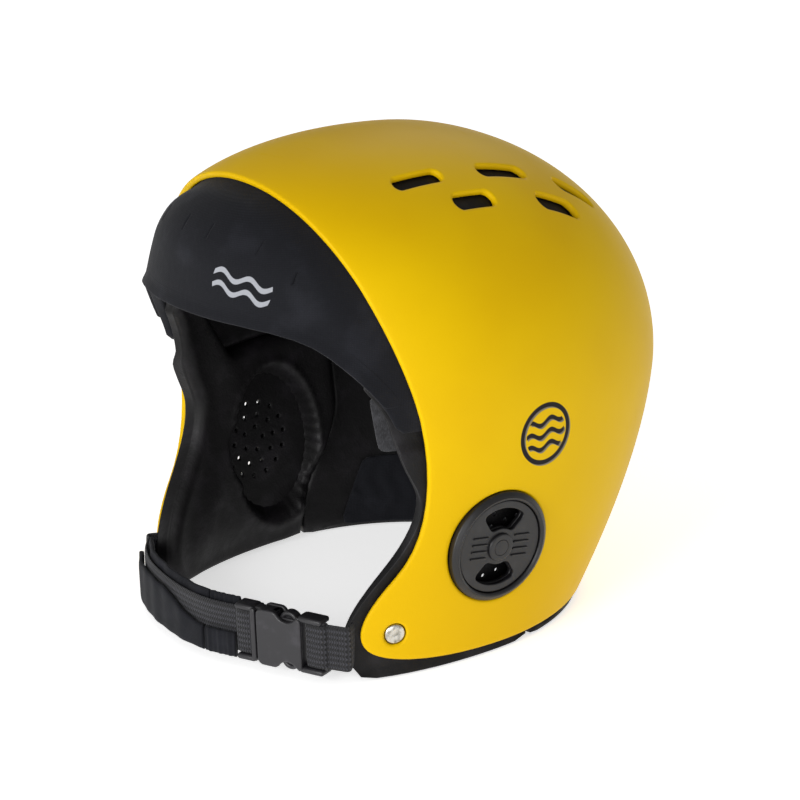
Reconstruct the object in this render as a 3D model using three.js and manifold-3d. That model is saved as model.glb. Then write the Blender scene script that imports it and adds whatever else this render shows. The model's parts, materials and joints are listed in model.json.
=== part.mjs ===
// Open-face water-sports helmet: a thin moulded shell over a foam liner, a neoprene brow band, rotary ear
// vents, and a chin strap with a side-release buckle.
// Millimetres. +Z up, the face opening looks along -Y and +X is the wearer's left.
// It stands on its rim at Z = 0.
import * as THREE from "three";
import { mergeVertices } from "three/addons/utils/BufferGeometryUtils.js";
import Module from "manifold-3d";

const wasm = await Module();
wasm.setup();

// ---------- driving dimensions ----------
const GAP = 0.3; // between pieces that touch
const FORM_SIDES = 34; // facets round the head form
const FORM_RINGS = 8; // facets from its widest level to the crown

// The head form: the outer surface of the shell, on its own upright axis, which leans back.
const HALF_WIDTH = 94;
const FRONT_REACH = 107.8;
const BACK_REACH = 122.9;
const CROWN_HEIGHT = 98.5; // above the widest level
const WIDEST_LEVEL = 107; // above the rim
const BROW_LEVEL = 50.5; // above the widest level: the forehead is upright below it
const LEAN = THREE.MathUtils.degToRad(7.5);
const PLAN_POWER = 2.16;
const CROWN_POWER = 1.97;
const BROW_POWER = 2.15;
const SIDE_TAPER = { amount: 0.1, power: 1.41 };
const BACK_TAPER = { amount: 0.3, power: 1.83 };
const Y_SHIFT = -7.85; // sets the origin under the middle of the whole helmet

const SHELL_WALL = 3;
const SHELL_RIM = 3.2; // the shell's edge above the table; the liner reaches lower
const BAND_WALL = 3;
const BAND_TUCK = 14; // band held under the shell's edge
const HEM_WALL = 1.1;
const HEM_WIDTH = 6;
const CROWN_LINER_WALL = 11;
const REAR_LINER_WALL = 9;
const SIDE_LINER_WALL = 14;
const NAPE_BAND_WALL = 2.5;
const LOOP_PATCH_WALL = 1.2;

// Outlines in the side view, as [y, z] corners that are rounded.
const SHELL_EDGE = [[-80, 240], [-62, 176], [-39, 67], [-81, 22], [-60, SHELL_RIM], [0, SHELL_RIM]];
const FACE_OPENING = [
  [-150, 143], [-93, 160], [-58.5, 119.5], [-54, 95], [-41, 68],
  [-80, 24], [-73, 1], [-60, 0], [0, 0],
];
const LINER_SPLIT_LEVEL = 95; // crown liner above, side and rear liners below
const LINER_SPLIT_BACK = 31; // side liners in front, rear liner behind
const BAND_END_LEVEL = 106;
const NAPE_BAND_TOP = 31;
const PATCH_TOP = 58;
const PATCH_START = 44;

// Vent slots in the crown, on both sides: distance from the middle and the two ends along the shell.
const SLOT_WIDTH = 5.5;
const SLOTS = [{ x: 42.5, ends: [-24, 0] }, { x: 42.5, ends: [20, 44] }, { x: 42.5, ends: [61, 80] },
  { x: 55.5, ends: [-3, 17] }, { x: 55.5, ends: [41, 61] }];

const EAR = { y: -13.6, z: 48.8 };
const EAR_RECESS = { y: -7, z: 47.5, width: 53, height: 73 };
const EAR_RECESS_FLOOR = 4.4; // liner wall left behind the recess
const EAR_MESH_WALL = 1.5;
const MESH_HOLE_RADIUS = 1.6;
const VENT_DISC_RADIUS = 20.3;
const VENT_DISC_WALL = 2;
const VENT_BASE_WALL = 1.8;
const VENT_BARREL_WALL = 2.1;
const VENT_FLANGE_WIDTH = 2.8;
const VENT_HUB_RADIUS = 6;
const VENT_RIM_WIDTH = 3.3; // of the disc, outside its windows
const VENT_SPOKE_HALF_ANGLE = THREE.MathUtils.degToRad(34);
const VENT_RIBS = { count: 4, pitch: 3, width: 1.2, height: 1.4 };
const VENT_PIN_RADIUS = 1.6;
const VENT_PIN_CLEARANCE = 0.15;

const RIVET = { y: -60.3, z: 19.5 };
const RIVET_HEAD_RADIUS = 4.4;
const RIVET_SHANK_RADIUS = 2.1;

const WEB_WIDTH = 20;
const WEB_WALL = 1.6;
const STRAP_LEVEL = 16; // height of the strap's middle above the table
const STRAP_HINGE = { x: 67, y: -81 }; // where the webbing leaves the cheek and can twist
const SLEEVE_WIDTH = 27;
const SLEEVE_WALL = 2.2;
const BUCKLE_RAIL = 2.5; // of the buckle beside the webbing
const BUCKLE_THICK = 9;
const BUCKLE_PLATE = 1.9;
const BUCKLE_FEMALE_END = [61.5, -83.5]; // [x, y] of the buckle's two ends
const BUCKLE_MALE_END = [21, -97.3];
const RELEASE_TRAVEL = 16;
const BUTTON_RADIUS = 4.6;

// ---------- solids ----------
function solidOf(geometry) {
  const bare = geometry.clone();
  bare.deleteAttribute("normal");
  bare.deleteAttribute("uv");
  const merged = mergeVertices(bare, 1e-4);
  const corners = [];
  for (let i = 0; i < merged.index.count; i += 3) {
    const [a, b, c] = [0, 1, 2].map((k) => merged.index.getX(i + k));
    if (a !== b && b !== c && c !== a) corners.push(a, b, c);
  }
  return new wasm.Manifold(new wasm.Mesh({
    numProp: 3,
    vertProperties: new Float32Array(merged.attributes.position.array),
    triVerts: new Uint32Array(corners),
  }));
}

// The largest body of a solid, without the slivers that a cut leaves.
const mainBody = (solid) => solid.decompose().reduce((a, b) => (a.volume() > b.volume() ? a : b));

function meshOf(name, solid, finish) {
  const { numProp, vertProperties, triVerts } = mainBody(solid).getMesh();
  const positions = new Float32Array((vertProperties.length / numProp) * 3);
  for (let i = 0; i < positions.length / 3; i += 1)
    for (let k = 0; k < 3; k += 1) positions[3 * i + k] = vertProperties[numProp * i + k];
  const geometry = new THREE.BufferGeometry();
  geometry.setAttribute("position", new THREE.BufferAttribute(positions, 3));
  geometry.setIndex(new THREE.BufferAttribute(new Uint32Array(triVerts), 1));
  geometry.computeVertexNormals();
  const mesh = new THREE.Mesh(geometry, finish);
  mesh.name = name;
  return mesh;
}

function box(low, high) {
  const size = high.map((value, k) => value - low[k]);
  const geometry = new THREE.BoxGeometry(...size);
  geometry.translate(...low.map((value, k) => value + size[k] / 2));
  return solidOf(geometry);
}

// A cylinder along local Z.
function drum(radius, low, high, sides = 28) {
  const geometry = new THREE.CylinderGeometry(radius, radius, high - low, sides);
  geometry.rotateX(Math.PI / 2);
  geometry.translate(0, 0, (low + high) / 2);
  return solidOf(geometry);
}

function extruded(shape, depth, curveSegments = 6) {
  return new THREE.ExtrudeGeometry(shape, { depth, bevelEnabled: false, curveSegments });
}

// A turned ring or cap: [radius, height] corners from the bottom up on the outside.
function turned(profile, sides = 28) {
  const geometry = new THREE.LatheGeometry(profile.map(([r, z]) => new THREE.Vector2(r, z)), sides);
  geometry.rotateX(Math.PI / 2);
  return solidOf(geometry);
}

// ---------- the head form ----------
const signedPower = (value, power) => Math.sign(value) * Math.abs(value) ** power;

// Half width, front reach and back reach of the form at a level above or below its widest one.
function sectionAt(level, inset) {
  const crown = CROWN_HEIGHT - inset;
  const dome = (height, full, power) => Math.sqrt(Math.max(0, 1 - (Math.max(0, height) / full) ** power));
  const drop = Math.max(0, -level) / 100;
  const closing = ({ amount, power }) =>
    (level > 0 ? dome(level, crown, CROWN_POWER) : 1 - amount * drop ** power);
  return {
    side: (HALF_WIDTH - inset) * closing(SIDE_TAPER),
    front: (FRONT_REACH - inset) * dome(level - BROW_LEVEL, crown - BROW_LEVEL, BROW_POWER),
    back: (BACK_REACH - inset) * closing(BACK_TAPER),
  };
}

const formFrame = new THREE.Matrix4().makeTranslation(0, Y_SHIFT, WIDEST_LEVEL)
  .multiply(new THREE.Matrix4().makeRotationX(-LEAN));
const formFrameInverse = formFrame.clone().invert();

// The whole form as a closed solid, its wall moved inwards by the inset.
function form(inset) {
  const crown = CROWN_HEIGHT - inset;
  const levels = [-140, -100, -75, -50, -25];
  for (let i = 0; i < FORM_RINGS; i += 1) levels.push(crown * Math.sin((i / FORM_RINGS) * (Math.PI / 2)));
  const profile = [[0, -140], ...levels.map((level) => [1, level]), [0, crown]];
  const geometry = new THREE.LatheGeometry(profile.map(([r, z]) => new THREE.Vector2(r, z)), FORM_SIDES);
  geometry.rotateX(Math.PI / 2);
  const position = geometry.attributes.position;
  for (let i = 0; i < position.count; i += 1) {
    const [x, y, level] = [position.getX(i), position.getY(i), position.getZ(i)];
    const radius = Math.hypot(x, y);
    if (radius < 0.5) continue;
    const section = sectionAt(level, inset);
    const across = signedPower(x / radius, 2 / PLAN_POWER);
    const along = signedPower(y / radius, 2 / PLAN_POWER);
    position.setXYZ(i, section.side * across, (along < 0 ? section.front : section.back) * along, level);
  }
  geometry.applyMatrix4(formFrame);
  return solidOf(geometry);
}

// X of the form's left wall where a side view shows [y, z].
function wallX(y, z, inset) {
  const local = new THREE.Vector3(0, y + Y_SHIFT, z).applyMatrix4(formFrameInverse);
  const section = sectionAt(local.z, inset);
  const reach = local.y < 0 ? section.front : section.back;
  return section.side * Math.max(0, 1 - Math.abs(local.y / reach) ** PLAN_POWER) ** (1 / PLAN_POWER);
}

function wallNormal(y, z, side) {
  const step = 0.5;
  const slopeY = (wallX(y + step, z, 0) - wallX(y - step, z, 0)) / (2 * step);
  const slopeZ = (wallX(y, z + step, 0) - wallX(y, z - step, 0)) / (2 * step);
  return new THREE.Vector3(side, -slopeY, -slopeZ).normalize();
}

// A frame on the form's wall: local Z points out of it and local Y points up along it.
function wallFrame({ y, z }, side) {
  const out = wallNormal(y, z, side);
  const up = new THREE.Vector3(0, 0, 1).projectOnPlane(out).normalize();
  const frame = new THREE.Matrix4().makeBasis(up.clone().cross(out), up, out);
  return frame.setPosition(side * wallX(y, z, 0), y + Y_SHIFT, z);
}

const placed = (solid, matrix) => solid.transform(matrix.elements);

const VENT_BARREL_INNER = VENT_DISC_RADIUS + GAP;
const VENT_BARREL_RADIUS = VENT_BARREL_INNER + VENT_BARREL_WALL;
const VENT_RING_RADIUS = VENT_BARREL_RADIUS + VENT_FLANGE_WIDTH;
const VENT_WINDOW_INNER = VENT_HUB_RADIUS + 2;
const VENT_WINDOW_OUTER = VENT_DISC_RADIUS - VENT_RIM_WIDTH;

// ---------- side-view outlines ----------
function chain(shape, corners) {
  shape.moveTo(...corners[0]);
  for (let i = 1; i < corners.length - 1; i += 1) {
    const [here, next] = [corners[i], corners[i + 1]];
    const last = i === corners.length - 2;
    const end = last ? next : [(here[0] + next[0]) / 2, (here[1] + next[1]) / 2];
    shape.quadraticCurveTo(...here, ...end);
  }
  return shape;
}

const shifted = (corners, dy, dz = 0) => corners.map(([y, z]) => [y + dy, z + dz]);

// Everything behind an edge that starts at the top and ends going back along the rim.
function behind(corners, low = -260, high = 260) {
  const shape = chain(new THREE.Shape(), corners);
  const [startY] = corners[0];
  const [, endZ] = corners[corners.length - 1];
  for (const [y, z] of [[200, endZ], [200, 300], [startY, 300]]) shape.lineTo(y, z);
  return sideCut(shape, low, high);
}

// A side-view shape as a prism from one X to another.
function sideCut(shape, low = -260, high = 260) {
  const geometry = extruded(shape, high - low);
  const axes = [new THREE.Vector3(0, 1, 0), new THREE.Vector3(0, 0, 1), new THREE.Vector3(1, 0, 0)];
  geometry.applyMatrix4(new THREE.Matrix4().makeBasis(...axes).setPosition(low, Y_SHIFT, 0));
  return solidOf(geometry);
}

function ovalShape({ y, z, width, height }, grow) {
  return new THREE.Shape().absellipse(y, z, width / 2 + grow, height / 2 + grow, 0, 2 * Math.PI);
}

const layer = (outer, wall) => form(outer).subtract(form(outer + wall));
const span = (yLow, yHigh, zLow, zHigh) => box([-260, yLow + Y_SHIFT, zLow], [260, yHigh + Y_SHIFT, zHigh]);
const halfSpace = (side) => box([side > 0 ? 0 : -260, -400, -50], [side > 0 ? 260 : 0, 400, 400]);

// ---------- finishes ----------
const finish = (color, roughness, metalness = 0) =>
  new THREE.MeshStandardMaterial({ color, roughness, metalness, side: THREE.FrontSide });
const YELLOW_SHELL = finish(0xd9ae08, 0.45);
const BLACK_FOAM = finish(0x211e21, 0.75);
const BLACK_NEOPRENE = finish(0x1e1f25, 0.85);
const BLACK_PLASTIC = finish(0x26262a, 0.4);
const BUCKLE_PLASTIC = finish(0x403d43, 0.4);
const BLACK_WEBBING = finish(0x1b1b1f, 0.8);
const GREY_FELT = finish(0x3a3a3f, 0.95);
const STEEL = finish(0xb9b9b4, 0.3, 1);

const helmet = new THREE.Group();
const add = (name, solid, material, group = helmet) => group.add(meshOf(name, solid, material));

// ---------- chin strap route ----------
const vector = ([x, y], z = STRAP_LEVEL) => new THREE.Vector3(x, y + Y_SHIFT, z);
const strapMiddle = (a, b) => a.map((value, k) => (value + b[k]) / 2);
const buckleAxis = vector(BUCKLE_MALE_END).sub(vector(BUCKLE_FEMALE_END)).normalize();
const buckleLength = vector(BUCKLE_MALE_END).distanceTo(vector(BUCKLE_FEMALE_END));
const buckleEndX = buckleLength / 2;
const buckleFrame = new THREE.Matrix4()
  .makeBasis(buckleAxis, new THREE.Vector3(0, 0, 1).cross(buckleAxis), new THREE.Vector3(0, 0, 1))
  .setPosition(vector(strapMiddle(BUCKLE_FEMALE_END, BUCKLE_MALE_END)));

// A strap of flat section along a curve: its width lies along the given direction.
function ribbon(curve, { width, wall, offset = 0, segments, widthAt, round = 0 }) {
  const geometry = new THREE.BoxGeometry(1, width, wall, segments, 1, 1);
  const position = geometry.attributes.position;
  for (let i = 0; i < position.count; i += 1) {
    const along = THREE.MathUtils.clamp(position.getX(i) + 0.5, 0, 1);
    const tangent = curve.getTangentAt(along);
    const across = widthAt ? widthAt(along) : new THREE.Vector3(0, 0, 1);
    const outward = tangent.clone().cross(across).normalize();
    const point = curve.getPointAt(along)
      .addScaledVector(across, position.getY(i) * (1 - round * Math.abs(2 * along - 1) ** 8))
      .addScaledVector(outward, position.getZ(i) + offset);
    position.setXYZ(i, point.x, point.y, point.z);
  }
  return solidOf(geometry);
}

// ---------- strap tabs: webbing held between the shell and the liner ----------
const TAB_CLEARANCE = 0.9; // the flat strap lies inside a wall that curves
const TAB_INSET = SHELL_WALL + GAP + TAB_CLEARANCE + WEB_WALL / 2;
const TAB_BACK_Y = RIVET.y + 8;
const TAB_CORNER_Y = -73;
const hingeLeft = [STRAP_HINGE.x, STRAP_HINGE.y];
const tabPoints = [TAB_BACK_Y, RIVET.y, (RIVET.y + TAB_CORNER_Y) / 2, TAB_CORNER_Y]
  .map((y) => vector([wallX(y, STRAP_LEVEL, TAB_INSET), y]));
tabPoints.push(vector([STRAP_HINGE.x + 3.2, STRAP_HINGE.y + 2.2]));
tabPoints.push(vector([STRAP_HINGE.x - 1, STRAP_HINGE.y - 0.4]));
const tabCurve = new THREE.CatmullRomCurve3(tabPoints);
const tabWallX = (level) => wallX(RIVET.y, level, TAB_INSET);
const wallSlope = (tabWallX(STRAP_LEVEL + 5) - tabWallX(STRAP_LEVEL - 5)) / 10;
const tabAcross = (along) =>
  new THREE.Vector3(wallSlope * (1 - THREE.MathUtils.smoothstep(along, 0.55, 0.95)), 0, 1).normalize();
const tabRibbon = (clearance) => ribbon(tabCurve, {
  width: WEB_WIDTH + 2 * clearance, wall: WEB_WALL + 2 * clearance, segments: 12, widthAt: tabAcross,
});
const tabLow = -(TAB_INSET + WEB_WALL / 2);
const washerTop = tabLow - 0.6;
const washerLow = washerTop - 1;
const rivetTail = washerLow - GAP;
const mirrored = (solid) => solid.mirror([1, 0, 0]);
const onSide = (solid, side) => (side > 0 ? solid : mirrored(solid));

const outsideHinge = box([STRAP_HINGE.x + GAP, -300, -50], [200, 300, 300]);
const shellRoom = layer(0, SHELL_WALL + GAP).intersect(behind(shifted(SHELL_EDGE, -GAP)));
const leftTab = tabRibbon(0).intersect(outsideHinge).subtract(shellRoom);
const leftTabClearance = tabRibbon(GAP + 0.1);

// ---------- shell ----------
const SIDES = [["left", 1], ["right", -1]];

function slotCut({ x, ends }) {
  const radius = SLOT_WIDTH / 2;
  const shape = new THREE.Shape();
  shape.absarc(x, ends[0] + radius, radius, Math.PI, 2 * Math.PI);
  shape.absarc(x, ends[1] - radius, radius, 0, Math.PI);
  const geometry = extruded(shape, 120, 3);
  geometry.translate(0, Y_SHIFT, 130);
  return solidOf(geometry);
}

const RIVET_RECESS = 1.5;
const VENT_SEAT = -0.9; // flat spot on the shell under the vent's flange, below the form's surface

function makeShell() {
  let shell = layer(0, SHELL_WALL).intersect(behind(SHELL_EDGE));
  for (const slot of SLOTS)
    for (const [, side] of SIDES) shell = shell.subtract(onSide(slotCut(slot), side));
  for (const [, side] of SIDES) {
    const ear = wallFrame(EAR, side);
    const rivet = wallFrame(RIVET, side);
    const cuts = [
      placed(drum(VENT_BARREL_RADIUS + GAP, -20, 20), ear),
      placed(drum(VENT_RING_RADIUS + GAP, VENT_SEAT, 20), ear),
      placed(drum(RIVET_SHANK_RADIUS + GAP, -12, 12, 12), rivet),
      placed(drum(RIVET_HEAD_RADIUS + GAP, -RIVET_RECESS, 12, 16), rivet),
    ];
    for (const cut of cuts) shell = shell.subtract(cut);
  }
  return shell;
}
add("shell", makeShell(), YELLOW_SHELL);

// ---------- brow band and its hem ----------
const BAND_INSET = SHELL_WALL + GAP;
const browRegion = behind(FACE_OPENING).intersect(span(-200, 200, BAND_END_LEVEL, 300));
const bandRegion = (clearance) => browRegion.subtract(behind(shifted(SHELL_EDGE, BAND_TUCK + clearance)));
add("front_band", layer(BAND_INSET, BAND_WALL).intersect(bandRegion(0)), BLACK_NEOPRENE);

const hemRegion = behind(FACE_OPENING).subtract(behind(shifted(FACE_OPENING, HEM_WIDTH * 0.75, HEM_WIDTH)))
  .intersect(span(-200, 200, 118, 300)).subtract(behind(shifted(SHELL_EDGE, -1)));
add("band_hem", layer(BAND_INSET - GAP - HEM_WALL, HEM_WALL).intersect(hemRegion), BLACK_NEOPRENE);

// ---------- foam liner ----------
const LINER_INSET = SHELL_WALL + GAP;
const lowerLevel = LINER_SPLIT_LEVEL - GAP;
const bandClearance = form(0).subtract(form(BAND_INSET + BAND_WALL + GAP)).intersect(
  behind(FACE_OPENING.map(([y, z]) => [y - 3, z - 3])).intersect(span(-200, 200, BAND_END_LEVEL - GAP, 300))
    .subtract(behind(shifted(SHELL_EDGE, BAND_TUCK + GAP))));
const openingCut = behind(FACE_OPENING);

add("crown_liner", layer(LINER_INSET, CROWN_LINER_WALL).intersect(openingCut)
  .intersect(span(-200, 200, LINER_SPLIT_LEVEL, 300)).subtract(bandClearance), BLACK_FOAM);
add("rear_liner", layer(LINER_INSET, REAR_LINER_WALL)
  .intersect(span(LINER_SPLIT_BACK + GAP, 200, 0, lowerLevel)), BLACK_FOAM);

const RECESS_INSET = LINER_INSET + EAR_RECESS_FLOOR;
const recessCut = (side) => form(RECESS_INSET)
  .intersect(sideCut(ovalShape(EAR_RECESS, 0), side > 0 ? 0 : -260, side > 0 ? 260 : 0));

function makeSideLiner(side) {
  const ear = wallFrame(EAR, side);
  const rivet = wallFrame(RIVET, side);
  const cuts = [
    recessCut(side),
    placed(drum(VENT_BARREL_RADIUS + 2 * GAP, -14, 14), ear),
    placed(drum(RIVET_HEAD_RADIUS + 2, rivetTail - 1 - GAP, 9, 16), rivet),
    onSide(leftTabClearance, side),
  ];
  let liner = layer(LINER_INSET, SIDE_LINER_WALL).intersect(openingCut).intersect(halfSpace(side))
    .intersect(span(-200, LINER_SPLIT_BACK, 0, lowerLevel));
  for (const cut of cuts) liner = liner.subtract(cut);
  return liner;
}

function makeEarMesh(side) {
  const inset = RECESS_INSET + GAP;
  const oval = sideCut(ovalShape(EAR_RECESS, -GAP), side > 0 ? 0 : -260, side > 0 ? 260 : 0);
  let mesh = layer(inset, EAR_MESH_WALL).intersect(oval);
  const ear = wallFrame(EAR, side);
  for (const [ring, count] of [[7, 4], [13, 8]])
    for (let i = 0; i < count; i += 1) {
      const angle = (i / count) * 2 * Math.PI;
      const hole = drum(MESH_HOLE_RADIUS, -40, 20, 6)
        .translate([ring * Math.cos(angle), ring * Math.sin(angle), 0]);
      mesh = mesh.subtract(placed(hole, ear));
    }
  return mesh;
}

for (const [word, side] of SIDES) {
  add(`side_liner_${word}`, makeSideLiner(side), BLACK_FOAM);
  add(`ear_mesh_${word}`, makeEarMesh(side), BLACK_FOAM);
}

const innerRear = LINER_INSET + REAR_LINER_WALL + GAP;
add("nape_band", layer(innerRear, NAPE_BAND_WALL)
  .intersect(span(LINER_SPLIT_BACK + 8, 200, 3, NAPE_BAND_TOP)), BLACK_NEOPRENE);
add("loop_patch", layer(innerRear, LOOP_PATCH_WALL)
  .intersect(span(PATCH_START, 200, NAPE_BAND_TOP + 1, PATCH_TOP)), GREY_FELT);

// ---------- ear vents ----------
const DISC_TOP = -1.2;
const discLow = DISC_TOP - VENT_DISC_WALL;
const baseTop = discLow - GAP;
const baseLow = baseTop - VENT_BASE_WALL;
const HUB_TOP = 1;
const RING_TOP = 2.4;
const flangeLow = VENT_SEAT + GAP;

// A fan-shaped window, centred on local Y up or down.
function fanCut(sign) {
  const start = (sign * Math.PI) / 2 - VENT_SPOKE_HALF_ANGLE;
  const end = start + 2 * VENT_SPOKE_HALF_ANGLE;
  const shape = new THREE.Shape();
  shape.absarc(0, 0, VENT_WINDOW_OUTER, start, end, false);
  shape.absarc(0, 0, VENT_WINDOW_INNER, end, start, true);
  return solidOf(extruded(shape, 20, 4).translate(0, 0, -12));
}

function windowed(disc) {
  const bore = drum(VENT_PIN_RADIUS + VENT_PIN_CLEARANCE, -20, 20, 12);
  return disc.subtract(fanCut(1)).subtract(fanCut(-1)).subtract(bore);
}

function makeVentDisc() {
  const plate = drum(VENT_DISC_RADIUS, discLow, DISC_TOP)
    .add(drum(VENT_HUB_RADIUS, DISC_TOP - 0.5, HUB_TOP, 16));
  let disc = windowed(plate);
  const [inner, outer] = [VENT_HUB_RADIUS + 1, VENT_WINDOW_OUTER - 2];
  for (const side of [-1, 1])
    for (let i = 0; i < VENT_RIBS.count; i += 1) {
      const y = (i - (VENT_RIBS.count - 1) / 2) * VENT_RIBS.pitch;
      const [low, high] = side > 0 ? [inner, outer] : [-outer, -inner];
      disc = disc.add(box([low, y - VENT_RIBS.width / 2, DISC_TOP - 0.5],
        [high, y + VENT_RIBS.width / 2, DISC_TOP + VENT_RIBS.height]));
    }
  return disc;
}

function makeVentPin() {
  const [head, shank, tail] = [3.4, VENT_PIN_RADIUS, 2.8];
  const headLow = HUB_TOP + GAP;
  const tailTop = baseLow - GAP;
  return turned([[0, tailTop - 1], [tail, tailTop - 1], [tail, tailTop], [shank, tailTop], [shank, headLow],
    [head, headLow], [head - 0.5, headLow + 0.8], [0, headLow + 1]], 12);
}

const barrelLow = baseLow - 0.7;
const ventRing = turned([[VENT_BARREL_INNER, barrelLow], [VENT_BARREL_RADIUS, barrelLow],
  [VENT_BARREL_RADIUS, flangeLow], [VENT_RING_RADIUS, flangeLow], [VENT_RING_RADIUS, RING_TOP - 1.5],
  [VENT_RING_RADIUS - 0.9, RING_TOP - 0.4], [VENT_RING_RADIUS - 2.4, RING_TOP],
  [VENT_BARREL_INNER + 1, RING_TOP - 0.4], [VENT_BARREL_INNER, RING_TOP - 1.4],
  [VENT_BARREL_INNER, barrelLow]]);

for (const [word, side] of SIDES) {
  const vent = new THREE.Group();
  vent.applyMatrix4(wallFrame(EAR, side));
  helmet.add(vent);
  add(`vent_ring_${word}`, ventRing, BLACK_PLASTIC, vent);
  add(`vent_base_${word}`, windowed(drum(VENT_DISC_RADIUS, baseLow, baseTop)), BLACK_PLASTIC, vent);
  add(`vent_disc_${word}`, makeVentDisc(), BLACK_PLASTIC, vent);
  add(`vent_pin_${word}`, makeVentPin(), BLACK_PLASTIC, vent);
}

// ---------- strap rivets ----------
for (const [word, side] of SIDES) {
  const cheek = new THREE.Group();
  cheek.applyMatrix4(wallFrame(RIVET, side));
  helmet.add(cheek);
  const headLow = -RIVET_RECESS + GAP;
  add(`strap_rivet_${word}`, turned([[0, rivetTail - 1], [3.4, rivetTail - 1], [3.4, rivetTail],
    [RIVET_SHANK_RADIUS, rivetTail], [RIVET_SHANK_RADIUS, headLow], [RIVET_HEAD_RADIUS, headLow],
    [RIVET_HEAD_RADIUS - 0.6, headLow + 0.9], [0, headLow + 1.1]], 16), STEEL, cheek);
  add(`rivet_washer_${word}`, drum(5, washerLow, washerTop, 16)
    .subtract(drum(RIVET_SHANK_RADIUS + GAP, -30, 5, 12)), STEEL, cheek);
  const hole = placed(drum(RIVET_SHANK_RADIUS + GAP, -30, 10, 12), wallFrame(RIVET, side));
  add(`strap_tab_${word}`, onSide(leftTab, side).subtract(hole), BLACK_WEBBING);
}

// ---------- chin strap ----------
// The plan point on the buckle's axis at a distance from its middle.
const onBuckle = (distance) => BUCKLE_FEMALE_END.map((start, k) =>
  start + ((BUCKLE_MALE_END[k] - start) * (distance + buckleEndX)) / buckleLength);
const WEB_IN_FEMALE = 5;
const WEB_IN_MALE = 1.5;

const shortCurve = new THREE.CatmullRomCurve3([vector([STRAP_HINGE.x - GAP, STRAP_HINGE.y - 0.1]),
  vector(strapMiddle(hingeLeft, BUCKLE_FEMALE_END)), vector(BUCKLE_FEMALE_END),
  vector(onBuckle(-buckleEndX + WEB_IN_FEMALE))]);
const insideHinge = box([-(STRAP_HINGE.x - GAP), -300, -50], [STRAP_HINGE.x - GAP, 300, 300]);
const webbingAlong = (curve, segments) =>
  ribbon(curve, { width: WEB_WIDTH, wall: WEB_WALL, segments }).intersect(insideHinge);
add("short_webbing", webbingAlong(shortCurve, 4), BLACK_WEBBING);

const CHIN_ROUTE = [[6, -102], [-9, -102.8], [-28, -100.2], [-46, -95], [-58, -88.6],
  [-STRAP_HINGE.x, STRAP_HINGE.y], [-STRAP_HINGE.x - 3, STRAP_HINGE.y + 2.5]];
const longCurve = new THREE.CatmullRomCurve3([vector(onBuckle(buckleEndX - WEB_IN_MALE)),
  vector(BUCKLE_MALE_END), ...CHIN_ROUTE.map((point) => vector(point))]);
add("long_webbing", webbingAlong(longCurve, 22), BLACK_WEBBING);

// The neoprene sleeve: one layer outside the webbing and one inside, short of the buckle by its travel.
const SLEEVE_END = 7;
const sleeveStart = WEB_IN_MALE + RELEASE_TRAVEL + 1;
const longLength = longCurve.getLength();
const sleevePoints = [];
for (let i = 0; i <= 14; i += 1) {
  const reach = sleeveStart + ((longLength - SLEEVE_END - 5 - sleeveStart) * i) / 14;
  sleevePoints.push(longCurve.getPointAt(reach / longLength));
}
const sleeveCurve = new THREE.CatmullRomCurve3(sleevePoints);
const sleeveOffset = WEB_WALL / 2 + GAP + SLEEVE_WALL / 2;
for (const [word, sign] of [["front", -1], ["back", 1]])
  add(`sleeve_${word}`, ribbon(sleeveCurve, {
    width: SLEEVE_WIDTH, wall: SLEEVE_WALL, offset: sign * sleeveOffset, segments: 14, round: 0.35,
  }), BLACK_NEOPRENE);

// ---------- side-release buckle: local X from the female end to the male end, local Z up ----------
const half = BUCKLE_THICK / 2;
const high = WEB_WIDTH / 2 + BUCKLE_RAIL;
const MOUTH = 10.5;
const CAVITY_BACK = -12;
const BUTTON_AT = -4.5;
const BUTTON_LEVEL = high - 4.2;
const ARM_SPAN = [high - 5.3, high - 2.7];
const RAIL_SPAN = [WEB_WIDTH / 2 + 0.5, high - 0.3]; // beside the webbing, so that it passes when released
const YOKE_UP = buckleEndX - WEB_IN_MALE - RELEASE_TRAVEL - GAP;
const YOKE_LOW = YOKE_UP - 2.4;
const MALE_INSET = 0.3; // of the insert's faces from the socket's
const GUIDE_HALF = half - BUCKLE_PLATE - 0.4; // half thickness of what slides in the socket
const webSlot = (low, up, room) => {
  const [wall, width] = [WEB_WALL / 2 + room, WEB_WIDTH / 2 + 0.5];
  return box([low, -wall, -width], [up, wall, width]);
};
const crossDrum = (x, z, radius) =>
  placed(drum(radius, -20, 20, 20), new THREE.Matrix4().makeRotationX(Math.PI / 2).setPosition(x, 0, z));

function makeFemale() {
  let body = box([-buckleEndX, -half, -high], [MOUTH, half, high])
    .subtract(box([CAVITY_BACK, -half + BUCKLE_PLATE, -high - 1], [MOUTH + 1, half - BUCKLE_PLATE, high + 1]))
    .subtract(webSlot(-buckleEndX - 1, -buckleEndX + WEB_IN_FEMALE + 1, 0.5));
  for (const sign of [-1, 1])
    body = body.subtract(crossDrum(BUTTON_AT, sign * (high + 2), BUTTON_RADIUS + 1));
  return body;
}

function makeMale() {
  const face = MOUTH + 0.7;
  const body = box([face, MALE_INSET - half, -high], [buckleEndX, half - MALE_INSET, high])
    .subtract(webSlot(face - 1, buckleEndX + 1, 1.6));
  const slider = (low, up) => box([low[0], -GUIDE_HALF, low[1]], [up[0], GUIDE_HALF, up[1]]);
  const [railLow, railUp] = RAIL_SPAN;
  return body
    .add(slider([YOKE_LOW, railLow], [face + 0.5, railUp]))
    .add(slider([YOKE_LOW, -railUp], [face + 0.5, -railLow]))
    .add(slider([YOKE_LOW, -railUp], [YOKE_UP, railUp]))
    .add(slider([BUTTON_AT, -0.8], [YOKE_LOW + 0.5, 0.8]));
}

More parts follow.
